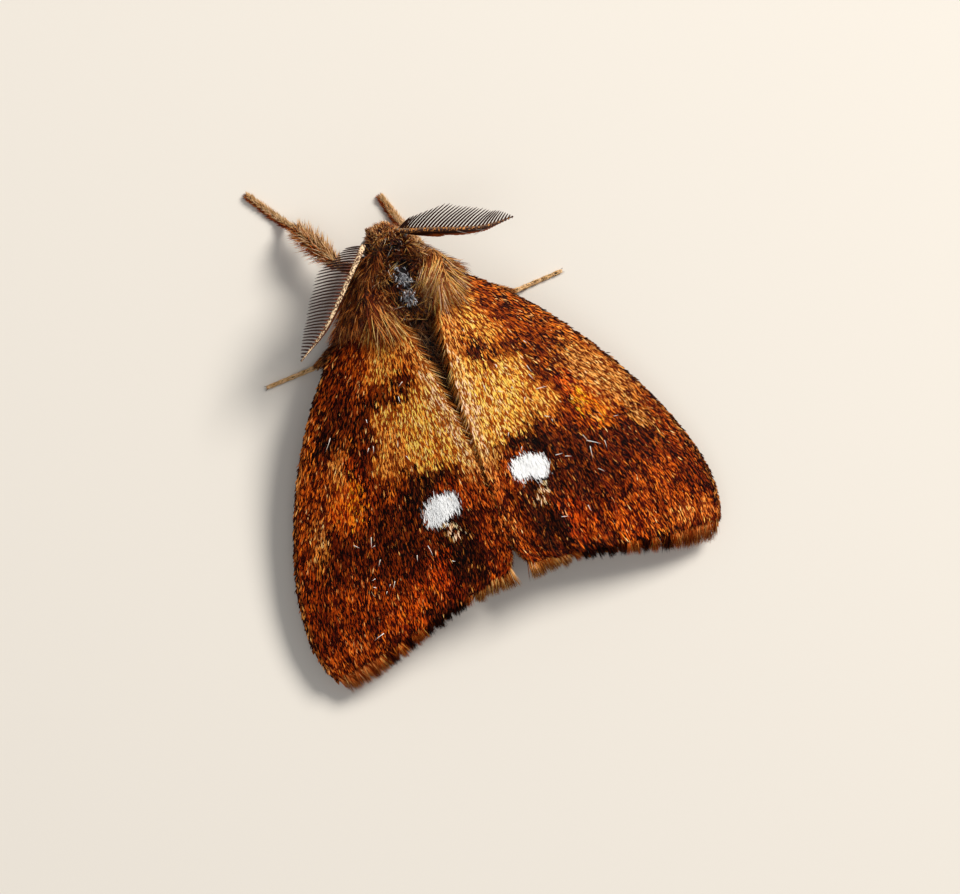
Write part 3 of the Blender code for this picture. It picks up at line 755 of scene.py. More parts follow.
def plain_tags(mesh, across=None, kind=0.0, tone=0.3):
    """Tags for a skin: every point is its own root."""
    place = np.empty(len(mesh.vertices) * 3, np.float32)
    mesh.vertices.foreach_get("co", place)
    place = place.reshape(-1, 3).copy()
    if across is not None:
        place[:, 2] = across
    tag(mesh, place, np.stack(np.broadcast_arrays(tone, np.zeros(len(place)), kind), axis=1))


def to_mesh(name, bm):
    """A mesh from a bmesh, which is freed."""
    mesh = bpy.data.meshes.new(name)
    bm.to_mesh(mesh)
    bm.free()
    return mesh


def finished(name, bm):
    """A mesh from a bmesh, facing out and shaded smooth."""
    bmesh.ops.recalc_face_normals(bm, faces=bm.faces)
    mesh = to_mesh(name, bm)
    mesh.shade_smooth()
    return mesh


def loft(bm, rings):
    """Joins closed rings of places into a tube with closed ends."""
    loops = []
    for ring in rings:
        points = [bm.verts.new(place) for place in ring]
        loops.append([bm.edges.new((a, b)) for a, b in zip(points, points[1:] + points[:1])])
    for before, after in zip(loops, loops[1:]):
        bmesh.ops.bridge_loops(bm, edges=before + after)
    bmesh.ops.contextual_create(bm, geom=loops[0])
    bmesh.ops.contextual_create(bm, geom=loops[-1])


def tube(bm, path, radii, sides=10):
    """A round tube along a path, with its own radius at each point."""
    turns = [math.tau * (k + 0.5) / sides for k in range(sides)]
    rings = []
    for i, radius in enumerate(radii):
        along = Vector(path[min(i + 1, len(path) - 1)] - path[max(i - 1, 0)]).normalized()
        side = along.cross(Vector((0, 0, 1))).normalized()
        up = side.cross(along)
        rings.append([Vector(path[i]) + side * (radius * math.cos(t)) + up * (radius * math.sin(t))
                      for t in turns])
    loft(bm, rings)


def blade():
    """One scale: a kite with a raised middle, closed, 4 faces. Columns: across, up, along."""
    bm = bmesh.new()
    bmesh.ops.create_cone(bm, segments=3, radius1=1, radius2=0, depth=1, cap_ends=True)
    spots = iter([(0, 0, 0), (-1, -0.3, 0.6), (1, -0.3, 0.6)])
    for vert in bm.verts:
        vert.co = (0, 0, 1) if len(vert.link_edges) == 3 and vert.co.z > 0 else next(spots)
    return template(bm)


def strand(cuts=(0.45,), power=0.7):
    """One hair: a three-sided spike that tapers to a point, with rings where it can bend."""
    bm = bmesh.new()
    bmesh.ops.create_cone(bm, segments=3, radius1=1, radius2=0, depth=1, cap_ends=True)
    bmesh.ops.translate(bm, verts=bm.verts, vec=(0, 0, 0.5))
    for cut in cuts:
        bmesh.ops.bisect_plane(bm, geom=[*bm.verts, *bm.edges, *bm.faces], plane_co=(0, 0, cut),
                               plane_no=(0, 0, 1))
    for vert in bm.verts:
        left = 1 - vert.co.z
        if left > 1e-6:
            swell = left**power / left
            vert.co.x *= swell
            vert.co.y *= swell
    return template(bm)


def template(bm):
    """The points and triangles of a small closed shape, facing out."""
    bmesh.ops.triangulate(bm, faces=bm.faces)
    bmesh.ops.recalc_face_normals(bm, faces=bm.faces)
    bm.verts.index_update()
    points = np.array([v.co[:] for v in bm.verts])
    faces = np.array([[v.index for v in f.verts] for f in bm.faces])
    bm.free()
    return points, faces


class Coat:
    """Gathers tufts into one mesh. Each tuft is a copy of a template, bent and sized to its own numbers."""

    def __init__(self):
        self.parts = []

    def grow(self, shape, root, lie, up, length, width, bend=0.0, thick=0.35, chart=None, tone=None,
             kind=0.0, place=None):
        """Adds one tuft at each root. lie is its way, up the side it faces, bend the pull over its length."""
        points, faces = shape
        count = len(root)
        lie, up = unit(lie), unit(up - lie * np.sum(up * lie, axis=1, keepdims=True))
        side = np.cross(lie, up)
        length, width, kind = (np.broadcast_to(v, count)[:, None, None] for v in (length, width, kind))
        bend = np.broadcast_to(bend, (count, 3))[:, None, :]
        across, rise, along = (points[None, :, k, None] for k in range(3))
        co = (root[:, None] + lie[:, None] * length * along + bend * length * along**2
              + side[:, None] * across * width + up[:, None] * rise * width * thick)
        tone = RANDOM.random(count) if tone is None else tone
        place = root if place is None else place
        chart = np.full((count, 2), 0.5) if chart is None else chart
        shown = np.broadcast_to(points[None, :, 2, None], (count, len(points), 1))
        hair = np.concatenate([np.broadcast_to(tone[:, None, None], shown.shape), shown,
                               np.broadcast_to(kind, shown.shape)], axis=2)
        spread = (points[:, [0, 2]] - [0, 0.5]) * [0.5, 1.0] * PATCH
        self.parts.append((co, faces, np.broadcast_to(place[:, None], co.shape), hair,
                           chart[:, None] + spread[None]))

    def mesh(self, name, smooth=True):
        """The joined mesh with its attributes and its OFBake map."""
        faces, start = [], 0
        for points, triangles, *_ in self.parts:
            count, each = points.shape[:2]
            offsets = start + np.arange(count) * each
            faces.append((triangles[None] + offsets[:, None, None]).reshape(-1, 3))
            start += count * each
        faces = np.vstack(faces)
        co, root, hair, chart = (np.vstack([part[k].reshape(-1, part[k].shape[-1]) for part in self.parts])
                                 for k in (0, 2, 3, 4))
        mesh = bpy.data.meshes.new(name)
        mesh.from_pydata(co, [], faces)
        tag(mesh, root, hair)
        layer = mesh.uv_layers.new(name="OFBake")
        layer.data.foreach_set("uv", chart[faces.ravel()].astype(np.float32).ravel())
        if smooth:
            mesh.shade_smooth()
        return mesh


BLADE, STRAND, FINE = blade(), strand(), strand(())
LONG, TOOTH = strand((0.3, 0.65)), strand((0.3, 0.6, 0.9), 0.25)


def spread_over(place_at, rows, pitch, low=0.0, high=1.0):
    """Evenly scattered (across, along) pairs, in rows that hold as many as fit at that pitch."""
    first, second = [], []
    for i in range(rows):
        along = low + (high - low) * (i + 0.5) / rows
        ends = place_at(np.array([0.0, 0.5, 1.0]), np.full(3, along))
        count = max(2, int(np.linalg.norm(np.diff(ends, axis=0), axis=1).sum() / pitch))
        first.append((np.arange(count) + RANDOM.random(count)) / count)
        second.append(along + (RANDOM.random(count) - 0.5) * (high - low) / rows * 1.4)
    return np.concatenate(first), np.clip(np.concatenate(second), low, high)


def on_chart(first, second):
    """Places on a piece's unwrap from two shares, clear of its edges."""
    return np.column_stack([0.02 + 0.96 * first, 0.02 + 0.96 * second])


def wing_tags(root, across, along):
    """Chart and root tag of tufts on a wing: the tag is the plan position and the share across."""
    return {"chart": on_chart(across, along), "place": np.column_stack([root[:, 0], root[:, 1], across])}


# ---------------------------------------------------------------- wings

def make_membrane(name, at, finish, end, depth, columns, rows):
    """The thin plate of a wing, which the scales grow from. It ends short of the fringe."""
    bm = bmesh.new()
    bmesh.ops.create_grid(bm, x_segments=columns, y_segments=rows, size=0.5)
    for vert in bm.verts:
        across, along = 0.006 + 0.988 * (vert.co.x + 0.5), end * (vert.co.y + 0.5)
        vert.co = at(np.array(across), np.array(along)) - [0, 0, depth]
    bmesh.ops.recalc_face_normals(bm, faces=bm.faces)
    if sum(face.normal.z for face in bm.faces) < 0:
        bmesh.ops.reverse_faces(bm, faces=bm.faces)
    bmesh.ops.solidify(bm, geom=bm.faces[:], thickness=MEMBRANE)
    mesh = finished(name + "_membrane", bm)
    plain_tags(mesh, across=0.5)
    add_piece(mesh, finish, name)





def wing_roots(at, across, along):
    """Place, lie and upward normal at points of a wing. The lie fans out from the wing's root."""
    root, lie, up = surface_frame(at, across, along)
    up = up * np.sign(up[:, 2:3])
    centre = [np.sign(root[:, 0]) * WING_ROOT[0], np.full(len(root), WING_ROOT[1]), root[:, 2]]
    away = root - np.column_stack(centre)
    away = unit(away - up * np.sum(away * up, axis=1, keepdims=True))
    return root, unit(lie + away * (1.7 - 1.5 * along[:, None])), up


def lay_scales(coat, at, stretch, rows, pitch, lengths, widths, depth, above=True, sway=0.16, tone=None):
    """Overlapping scales over a stretch of a wing, on its upper or under side."""
    across, along = spread_over(at, rows, pitch, *stretch)
    root, lie, up = wing_roots(at, across, along)
    count = len(root)
    out = up if above else -up
    lie = unit(lie + np.cross(out, lie) * RANDOM.normal(0, sway, count)[:, None]
               + out * RANDOM.uniform(0.02, 0.18, count)[:, None])
    length = RANDOM.uniform(*lengths, count)
    shown = root + lie * 0.6 * length[:, None]
    coat.grow(BLADE, root - up * depth, lie, out, length, RANDOM.uniform(*widths, count), bend=-0.1 * out,
              thick=0.5, tone=tone and tone(count), **wing_tags(shown, across, along))


def light_or_dark(count):
    """Tones near 0 or near 1, and few between."""
    tone = 0.32 * RANDOM.random(count)
    return np.where(RANDOM.random(count) < 0.5, 1 - tone, tone)


def make_forewing(side, word):
    """Membrane, upper scales in two pieces with longer ones over shorter ones, edges and under scales."""
    name = "forewing_" + word
    at = partial(forewing_at, side)
    make_membrane(name, at, "forewing_scales", 0.945, MEMBRANE_DEPTH + 0.02, 40, 44)

    for part, stretch, rows in (("inner", (0.0, 0.56), 165), ("outer", (0.56, 0.95), 145)):
        coat = Coat()
        lay_scales(coat, at, stretch, rows, 0.031, (0.15, 0.25), (0.02, 0.032), MEMBRANE_DEPTH)
        lay_scales(coat, at, stretch, rows * 3 // 5, 0.055, (0.2, 0.34), (0.017, 0.026),
                   MEMBRANE_DEPTH - 0.035, sway=0.2, tone=light_or_dark)
        add_piece(coat.mesh(f"{name}_{part}_scales", smooth=False), "forewing_scales")

    coat = Coat()
    grow_fringe(coat, at, side)
    grow_inner_edge(coat, at, side)
    grow_front_edge(coat, at, side)
    add_piece(coat.mesh(name + "_fringe"), "forewing_scales")

    coat = Coat()
    lay_scales(coat, at, (0.06, 0.97), 90, 0.13, (0.3, 0.42), (0.06, 0.09), MEMBRANE_DEPTH + MEMBRANE + 0.02,
               above=False)
    add_piece(coat.mesh(name + "_under_scales", smooth=False), "hindwing_scales")


def grow_fringe(coat, at, side):
    """Long hair scales along the wing's outer edge, in combed strands, with notches between wider tufts."""
    for layer, start in enumerate((0.922, 0.932, 0.942)):
        count = 1500
        across = RANDOM.random(count) * 0.982 + 0.009
        along = start + 0.012 * across + RANDOM.random(count) * 0.01
        root, lie, up = wing_roots(at, across, along)
        to_edge = at(across, np.ones(count)) - root
        corner = np.clip(1 - across / 0.25, 0, 1)[:, None]  # here the hairs point to the tail
        lie = unit(to_edge) * (1 - corner) + np.array([-0.12 * side, 1.0, 0.0]) * corner
        phase = CLUMPS * math.tau * across + 1.5 * np.sin(across * 23)
        clump = np.maximum(0.5 + 0.5 * np.cos(phase), 0.8 * corner[:, 0])
        lean = side * (0.3 * np.sin(phase) * (1 - corner[:, 0]) + 0.17 * np.sin(COMBS * math.tau * across)
                       + RANDOM.normal(0, 0.05, count))
        lie = unit(lie + np.cross(up, lie) * lean[:, None] - up * RANDOM.uniform(0.0, 0.12, count)[:, None])
        length = np.linalg.norm(to_edge, axis=1) * (1.06 + 0.2 * clump + 0.12 * RANDOM.random(count))
        coat.grow(STRAND, root - up * (MEMBRANE_DEPTH + 0.01 + 0.05 * layer), lie, up, length,
                  RANDOM.uniform(0.016, 0.025, count), bend=-0.08 * up, thick=0.6,
                  kind=np.clip(RANDOM.normal(1.0, 0.15, count), 0, 1), **wing_tags(root, across, along))


def grow_inner_edge(coat, at, side):
    """Hairs along the wing's inner edge. Some cross the gap over the abdomen, and the rear ones are long."""
    for count, stretch, inward, lengths, rise in INNER_EDGE:
        along = RANDOM.uniform(*stretch, count)
        across = RANDOM.random(count) ** 2 * 0.03 + 0.004
        root, lie, up = wing_roots(at, across, along)
        lie = lie + np.array([-side, 0.0, 0.0]) * RANDOM.uniform(*inward, count)[:, None]
        coat.grow(STRAND, root - up * MEMBRANE_DEPTH, lie + up * RANDOM.uniform(*rise, (count, 1)), up,
                  RANDOM.uniform(*lengths, count), RANDOM.uniform(0.01, 0.018, count), bend=-0.1 * up,
                  thick=0.6, kind=np.clip(RANDOM.normal(0.3, 0.35, count), 0, 1),
                  **wing_tags(root, across, along))


def grow_front_edge(coat, at, side):
    """Short scales round the wing's front edge."""
    count = 2600
    along = RANDOM.random(count) * 0.96
    across = 1 - RANDOM.random(count) * 0.014
    root, _, up = wing_roots(at, across, along)
    drop = RANDOM.random(count)[:, None] * 0.2
    ahead = at(across, along + 0.02) - at(across, along)
    outward = np.cross(ahead, up) * side
    lie = ahead + outward * RANDOM.uniform(0.0, 0.55, count)[:, None]
    coat.grow(BLADE, root - up * (MEMBRANE_DEPTH * 0.6 + drop), lie, up + np.cross(lie, up) * side,
              RANDOM.uniform(0.16, 0.28, count), RANDOM.uniform(0.02, 0.035, count),
              **wing_tags(root, across, along))
    if side == LEFT:
        base = along < 0.2  # here longer hairs reach out to the antenna
        ahead, outward, root, up = unit(ahead[base]), unit(outward[base]), root[base], up[base]
        across, along = across[base], along[base]
        share = RANDOM.random((len(root), 3))
        coat.grow(LONG, root - up * (0.1 + 0.3 * share[:, :1]),
                  outward * (0.5 + 0.8 * share[:, 1:2]) + ahead * 0.8 - up * 0.25, up,
                  (0.35 + 0.55 * share[:, 2]) * (1.15 - 3 * along), RANDOM.uniform(0.013, 0.02, len(root)),
                  bend=0.2 * ahead, thick=0.7, **wing_tags(root, across, along))


def make_hindwing(side, word):
    """Membrane, scales on both sides, a short fringe and long hairs along the inner edge."""
    name = "hindwing_" + word
    at = partial(hindwing_at, side)
    make_membrane(name, at, "hindwing_scales", 0.965, MEMBRANE_DEPTH, 18, 26)

    coat = Coat()
    for depth, above in ((MEMBRANE_DEPTH, True), (MEMBRANE_DEPTH + MEMBRANE, False)):
        lay_scales(coat, at, (0.0, 0.97), 70, 0.1, (0.28, 0.4), (0.05, 0.08), depth, above)
    count = 1500
    across = RANDOM.random(count) * 0.98 + 0.01
    along = 0.93 + RANDOM.random(count) * 0.03
    root, lie, up = wing_roots(at, across, along)
    coat.grow(STRAND, root - up * (MEMBRANE_DEPTH + 0.04), lie, up, RANDOM.uniform(0.3, 0.42, count),
              RANDOM.uniform(0.02, 0.03, count), chart=on_chart(across, along), kind=0.8)
    count = 900
    along = RANDOM.random(count) * 0.95
    across = 0.005 + RANDOM.random(count) * 0.03
    root, lie, up = wing_roots(at, across, along)
    lie = lie * RANDOM.uniform(0.3, 1.0, count)[:, None] + np.array([-side, 0.0, 0.12])
    coat.grow(LONG, root - up * (MEMBRANE_DEPTH + 0.04), lie, up, RANDOM.uniform(0.35, 0.75, count),
              RANDOM.uniform(0.012, 0.02, count), chart=on_chart(across, along), kind=0.6)
    add_piece(coat.mesh(name + "_scales", smooth=False), "hindwing_scales")


# ---------------------------------------------------------------- trunk, legs and their hair

def leg_path(name):
    """Hip, knee and ankle of the bare limb, then two points of its foot, which lies on the floor."""
    hip, knee, ankle, toe = (np.array(p) for p in LEGS[name])
    rest = ankle * 0.68 + toe * 0.32
    rest[2] = FOOT_HEIGHT + 0.03
    tip = toe.copy()
    tip[2] = FOOT_HEIGHT
    return hip, knee, ankle, rest, tip


def leg_lines(name):
    """Smooth centre lines of a leg's thigh, shin and foot."""
    hip, knee, ankle, rest, tip = leg_path(name)
    rise = np.array([0, 0, 0.05])
    return (smooth_through([hip, (hip + knee) / 2 + rise, knee], 9),
            smooth_through([knee, (knee + ankle) / 2 + rise, ankle], 9),
            smooth_through([ankle, rest, tip], 21))


def foot_radii():
    """Radius along the bare foot, which swells between its joints."""
    return 0.07 * (1 - 0.14 * np.cos(np.linspace(0, FOOT_JOINTS * math.tau, 21))) * np.linspace(1.1, 0.85, 21)


def palp_line(side):
    return smooth_through([(side * x, y, z) for x, y, z in PALP], 7)


def make_skin():
    """One skin over trunk and legs, inside the solids by the coat's depth."""
    bm = bmesh.new()
    turns = np.arange(40) * math.tau / 40
    loft(bm, [trunk_at(turns, np.full(40, y)) for y in np.linspace(-2.54, 9.95, 90)])
    share = np.linspace(0, 1, 9)
    for name in LEGS:
        thigh, shin, foot = leg_lines(name)
        stout = 1.25 if name.startswith("foreleg") else 1.0
        tube(bm, thigh, np.interp(share, [0, 0.4, 1], [0.2, 0.22, 0.13]))
        tube(bm, shin, stout * np.interp(share, [0, 0.5, 1], [0.12, 0.15, 0.1]))
        tube(bm, foot, stout * foot_radii())
    for side, _ in SIDES:
        tube(bm, palp_line(side), np.linspace(0.15, 0.1, 7))
    bmesh.ops.recalc_face_normals(bm, faces=bm.faces)
    lofts = new_object("body_skin_lofts", to_mesh("body_skin_lofts", bm))
    merge = lofts.modifiers.new("merge", "REMESH")
    merge.mode = "VOXEL"
    merge.voxel_size = 0.045
    skin = bpy.data.meshes.new_from_object(lofts.evaluated_get(bpy.context.evaluated_depsgraph_get()))
    bpy.data.objects.remove(lofts)
    skin.name = "body_skin"
    skin.shade_smooth()
    plain_tags(skin, tone=0.35)
    add_piece(skin, "body_hair", "head", "thorax", "abdomen", "tail_tuft", "palp_left", "palp_right",
              "shoulder_tuft_left", "shoulder_tuft_right",
              *[f"{leg}_{part}" for leg in LEGS for part in ("femur", "tibia", "tarsus")])


def trunk_chart(turn, y):
    return on_chart(turn / math.tau, (y + 2.7) / 13.0)


def trunk_hair(coat, shape, count, stretch, lengths, widths, heading=1.0, lift=0.45, arc=(0.0, math.tau),
               spread=0.25, curl=0.25, kind=(0.0, 0.0), tousle=0.35):
    """Hairs over a stretch of the trunk. heading is 1 where they lie towards the tail and -1 to the front.

    kind is the mean and the scatter of the hairs' kinds. tousle is how far whole tufts lean apart.
    """
    y = RANDOM.uniform(*stretch, count)
    turn = RANDOM.uniform(*arc, count)
    root = trunk_at(turn, y)
    for x, middle, half_x, half_y in GLINTS:  # few hairs grow where they would cover the painted glints
        away = np.hypot((root[:, 0] - x) / (1.1 * half_x), (y - middle + 0.25) / (1.5 * half_y))
        clear = (away > 1) | (root[:, 2] < 2.5) | (RANDOM.random(len(y)) < 0.12)
        y, turn, root = y[clear], turn[clear], root[clear]
    count = len(y)
    back = unit(trunk_at(turn, y + 0.01) - trunk_at(turn, y - 0.01))
    aside = unit(trunk_at(turn + 0.01, y) - trunk_at(turn - 0.01, y))
    up = unit(np.cross(back, aside))
    up *= np.sign(np.cos(turn) * up[:, 0] + np.sin(turn) * up[:, 2])[:, None]
    cell = np.floor(turn / 0.2).astype(int) * 79 + np.floor(y / 0.2).astype(int) * 104729
    tuft = CELLS[cell % len(CELLS)]
    rise = lift * RANDOM.uniform(0.4, 1.6, count)[:, None]
    lie = unit(back * (heading + tousle * tuft[:, :1]) + up * rise
               + aside * (tousle * tuft[:, 1:2] + RANDOM.normal(0, spread, (count, 1))))
    length = RANDOM.uniform(*lengths, count) * np.clip(hair_depth(y) / 0.3, 0.6, 1.2)
    bend = (-up * curl * RANDOM.uniform(0.3, 1.0, count)[:, None]
            + aside * RANDOM.normal(0, 0.2, count)[:, None])
    coat.grow(shape, root - up * 0.03, lie, up, length, RANDOM.uniform(*widths, count), bend=bend,
              thick=0.7, chart=trunk_chart(turn, y), kind=np.clip(RANDOM.normal(*kind, count), 0, 2),
              tone=np.clip(light_or_dark(count) + 0.12 * tuft[:, 2], 0, 1))


def grow_glints(coat):
    """Small flat scales where the fur of the thorax parts, painted as pale glints of reflected light."""
    for x, y, half_x, half_y in GLINTS:
        count = 110
        place = np.array([x, y]) + np.clip(RANDOM.normal(0, 0.5, (count, 2)), -1.2, 1.2) * [half_x, half_y]
        turn = np.arccos(place[:, 0] / trunk_sizes(place[:, 1])[0])
        root = trunk_at(turn, place[:, 1], lift=0.24)
        up = np.column_stack([np.cos(turn), 0 * turn, np.sin(turn)])
        lie = np.column_stack([RANDOM.normal(0, 0.7, count), np.ones(count), RANDOM.normal(0, 0.25, count)])
        coat.grow(BLADE, root, lie, up + RANDOM.normal(0, 0.3, (count, 3)), RANDOM.uniform(0.1, 0.24, count),
                  RANDOM.uniform(0.016, 0.034, count), chart=trunk_chart(turn, place[:, 1]), kind=-1.0)


def make_trunk_hair():
    """Fur of head, thorax and abdomen: short under hair, longer tousled hair, and a few long pale hairs."""
    cheeks = ((-0.4, 1.0), (math.pi - 1.0, math.pi + 0.4))
    coat = Coat()
    trunk_hair(coat, STRAND, 2000, (-2.54, -1.9), (0.25, 0.5), (0.018, 0.03), heading=-0.7, lift=1.0,
               spread=0.5, kind=(0.15, 0.3), tousle=0.8)
    trunk_hair(coat, LONG, 2200, (-2.3, -0.9), (0.38, 0.66), (0.016, 0.027), heading=0.7, lift=0.9,
               spread=0.5, kind=(0.1, 0.3), tousle=0.9)
    for arc in cheeks:
        trunk_hair(coat, LONG, 1000, (-1.6, -0.5), (0.38, 0.62), (0.014, 0.024), heading=0.7, lift=1.0,
                   arc=arc, spread=0.5, kind=(0.15, 0.3), tousle=0.5)
    trunk_hair(coat, LONG, 24, (-2.3, -1.0), (0.5, 0.8), (0.01, 0.014), lift=1.0, arc=BACK, spread=1.2,
               curl=0.5, kind=(2.0, 0.0))
    add_piece(coat.mesh("head_hair"), "body_hair")

    coat = Coat()
    grow_glints(coat)
    trunk_hair(coat, STRAND, 4400, (-1.5, 1.5), (0.4, 0.7), (0.017, 0.028), lift=0.5, tousle=0.6)
    trunk_hair(coat, LONG, 1900, (-1.4, 1.3), (0.48, 0.84), (0.014, 0.023), lift=0.54, arc=BACK, spread=0.6,
               curl=0.6, kind=(0.2, 0.4), tousle=0.9)
    trunk_hair(coat, LONG, 40, (-1.3, 1.2), (0.55, 0.9), (0.011, 0.015), lift=0.6, arc=BACK, spread=1.6,
               curl=0.5, kind=(2.0, 0.0))
    add_piece(coat.mesh("thorax_hair"), "body_hair")

    coat = Coat()
    trunk_hair(coat, STRAND, 5000, (1.2, 9.7), (0.4, 0.65), (0.016, 0.026), lift=0.3)
    trunk_hair(coat, LONG, 1100, (1.0, 6.0), (0.55, 0.95), (0.012, 0.017), lift=0.7, arc=BACK, spread=0.9,
               curl=0.5, kind=(0.5, 0.4))
    trunk_hair(coat, LONG, 700, (9.1, 9.9), (0.4, 0.6), (0.014, 0.021), lift=0.2)
    add_piece(coat.mesh("abdomen_hair"), "abdomen_hair")


def height_over_wing(side, x, y, furthest=0.4):
    """Height of the forewing's upper side over plan places, from the nearest of its points."""
    across, along = (v.ravel() for v in np.meshgrid(np.linspace(0, 1, 90), np.linspace(0, furthest, 70)))
    known = forewing_at(side, across, along)
    nearest = [int(np.argmin((known[:, 0] - a) ** 2 + (known[:, 1] - b) ** 2)) for a, b in zip(x, y)]
    return known[nearest, 2]


def trunk_top(x, y):
    """Height of the trunk's hair over plan places, or 0 beside the trunk."""
    width, height, middle = trunk_sizes(y)
    inside = 1 - (x / width) ** 2
    return np.where(inside > 0, middle + height * np.sqrt(np.maximum(inside, 0)), 0.0)


def grow_fan(coat, side):
    """Long golden hairs that spread from beside the thorax over the wing's root."""
    (x, y), innermost, outermost = FANS[side]
    count = 1700
    turn = np.radians(RANDOM.uniform(innermost, outermost, count))
    reach = RANDOM.uniform(0.6, 1.4, count) + np.clip(turn + 1.0, 0, 1) * RANDOM.random(count) ** 2
    reach *= np.interp(turn, [0.4, 1.1], [1.0, 0.6])  # the outermost stay on the wing
    start = np.array([x, y, 3.3]) + RANDOM.normal(0, 1, (count, 3)) * [0.17, 0.2, 0.05]
    end = start + np.column_stack([side * np.sin(turn) * reach, np.cos(turn) * reach, 0 * reach])
    on_wing, on_trunk = height_over_wing(side, end[:, 0], end[:, 1]), trunk_top(end[:, 0], end[:, 1])
    end[:, 2] = np.maximum(on_wing, on_trunk - 0.05)
    end[:, 2] += RANDOM.uniform(-0.02, 0.06, count)
    span = np.linalg.norm(end - start, axis=1)
    chord = (end - start) / span[:, None]
    up = np.tile([0.3 * side, 0.0, 1.0], (count, 1))
    lie = unit(chord + up * RANDOM.uniform(0.05, 0.35, count)[:, None]
               + np.array([side, 0, 0]) * RANDOM.normal(0, 0.08, count)[:, None])
    dark_share = (0.4 if side == LEFT else 0.05) + 0.4 * np.sin(np.maximum(turn, 0))
    dark = np.where(RANDOM.random(count) < dark_share, 0.9, 0.0)
    coat.grow(LONG, start, lie, up, span, RANDOM.uniform(0.012, 0.021, count), bend=chord - lie, thick=0.7,
              chart=on_chart((turn + 0.9) / 2.3, 0.375 * reach), kind=dark, tone=light_or_dark(count))


def grow_shoulder_tuft(coat, side):
    """The bushy tuft before the fan, between head and wing."""
    count, stretch, spread, longest, kind = SHOULDER_TUFTS[side]
    share = RANDOM.random(count)  # from the tuft's inner top to its outer bottom
    y = RANDOM.uniform(*stretch, count)
    out = 0.68 + spread * share + 0.84 * (y + 1.3)
    start = np.column_stack([side * out, y, 3.1 - 0.9 * share])
    lie = np.column_stack([side * (0.4 + 0.5 * share), 0.4 + 0.8 * RANDOM.random(count), 0.6 - 0.6 * share])
    lie += RANDOM.normal(0, 0.25, (count, 3))
    chart = on_chart(share, 0.948 + 0.052 * RANDOM.random(count))
    coat.grow(LONG, start, lie, np.tile([0.5 * side, 0.0, 1.0], (count, 1)),
              RANDOM.uniform(0.35, longest, count), RANDOM.uniform(0.013, 0.021, count),
              bend=np.column_stack([0 * share, 0.3 + 0 * share, RANDOM.normal(-0.1, 0.15, count)]), thick=0.7,
              chart=chart, kind=np.clip(RANDOM.normal(kind, 0.18, count), 0, 1), tone=light_or_dark(count))


def make_shoulder_hair(side, word):
    coat = Coat()
    grow_fan(coat, side)
    grow_shoulder_tuft(coat, side)
    add_piece(coat.mesh("shoulder_hair_" + word), "shoulder_hair")


def limb_hair(coat, path, radii, count, lengths, width, rise, column, kind=None, spread=0.2, shape=STRAND):
    """Hairs round a limb, leaning to its far end. kind gives the hairs' kinds from the ways they face."""
    share = RANDOM.random(count)
    centre, index = points_along(path, share)
    along = unit(path[index + 1] - path[index])
    side = unit(np.cross(along, [0, 0, 1.0]))
    over = np.cross(side, along)
    turn = RANDOM.random(count) * math.tau
    out = side * np.cos(turn)[:, None] + over * np.sin(turn)[:, None]
    root = centre + out * np.interp(share, np.linspace(0, 1, len(radii)), radii)[:, None]
    lie = unit(along + out * rise * RANDOM.uniform(0.4, 1.5, count)[:, None]
               + np.cross(along, out) * RANDOM.normal(0, spread, count)[:, None])
    length = RANDOM.uniform(*lengths, count) * (0.6 + 0.4 * np.sin(share * math.pi))
    low = root[:, 2] + lie[:, 2] * length < 0.01  # these would reach through the floor
    lie[low, 2] = np.maximum(0.0, (0.015 - root[low, 2]) / length[low])
    chart = np.column_stack([column + 0.13 * turn / math.tau, 0.02 + 0.96 * share])
    coat.grow(shape, root, lie, out, length, width * RANDOM.uniform(0.8, 1.3, count), bend=-0.15 * out,
              thick=0.7, chart=chart, kind=kind(out) if kind else 0.0)


def cream(out):
    return np.clip(RANDOM.normal(0.95, 0.12, len(out)), 0, 1)


def brush_tones_and_painted_light(out):
    """The forelegs' shins: pale gold and red-brown mixed at random, with painted light: palest on the side
    facing the key light.
    """
    return np.clip(np.where(out @ PAINTED_LIGHT_SIDE > 0.15, 0.7, -0.35) + RANDOM.normal(0, 0.5, len(out)), -1, 1)


def dark_with_painted_lit_edge(out):
    """The forelegs' feet: dark red-brown, with a painted highlight: golden on the side facing the key light.
    """
    return np.where(out @ PAINTED_LIGHT_SIDE > 0.0, 0.7, -0.6)


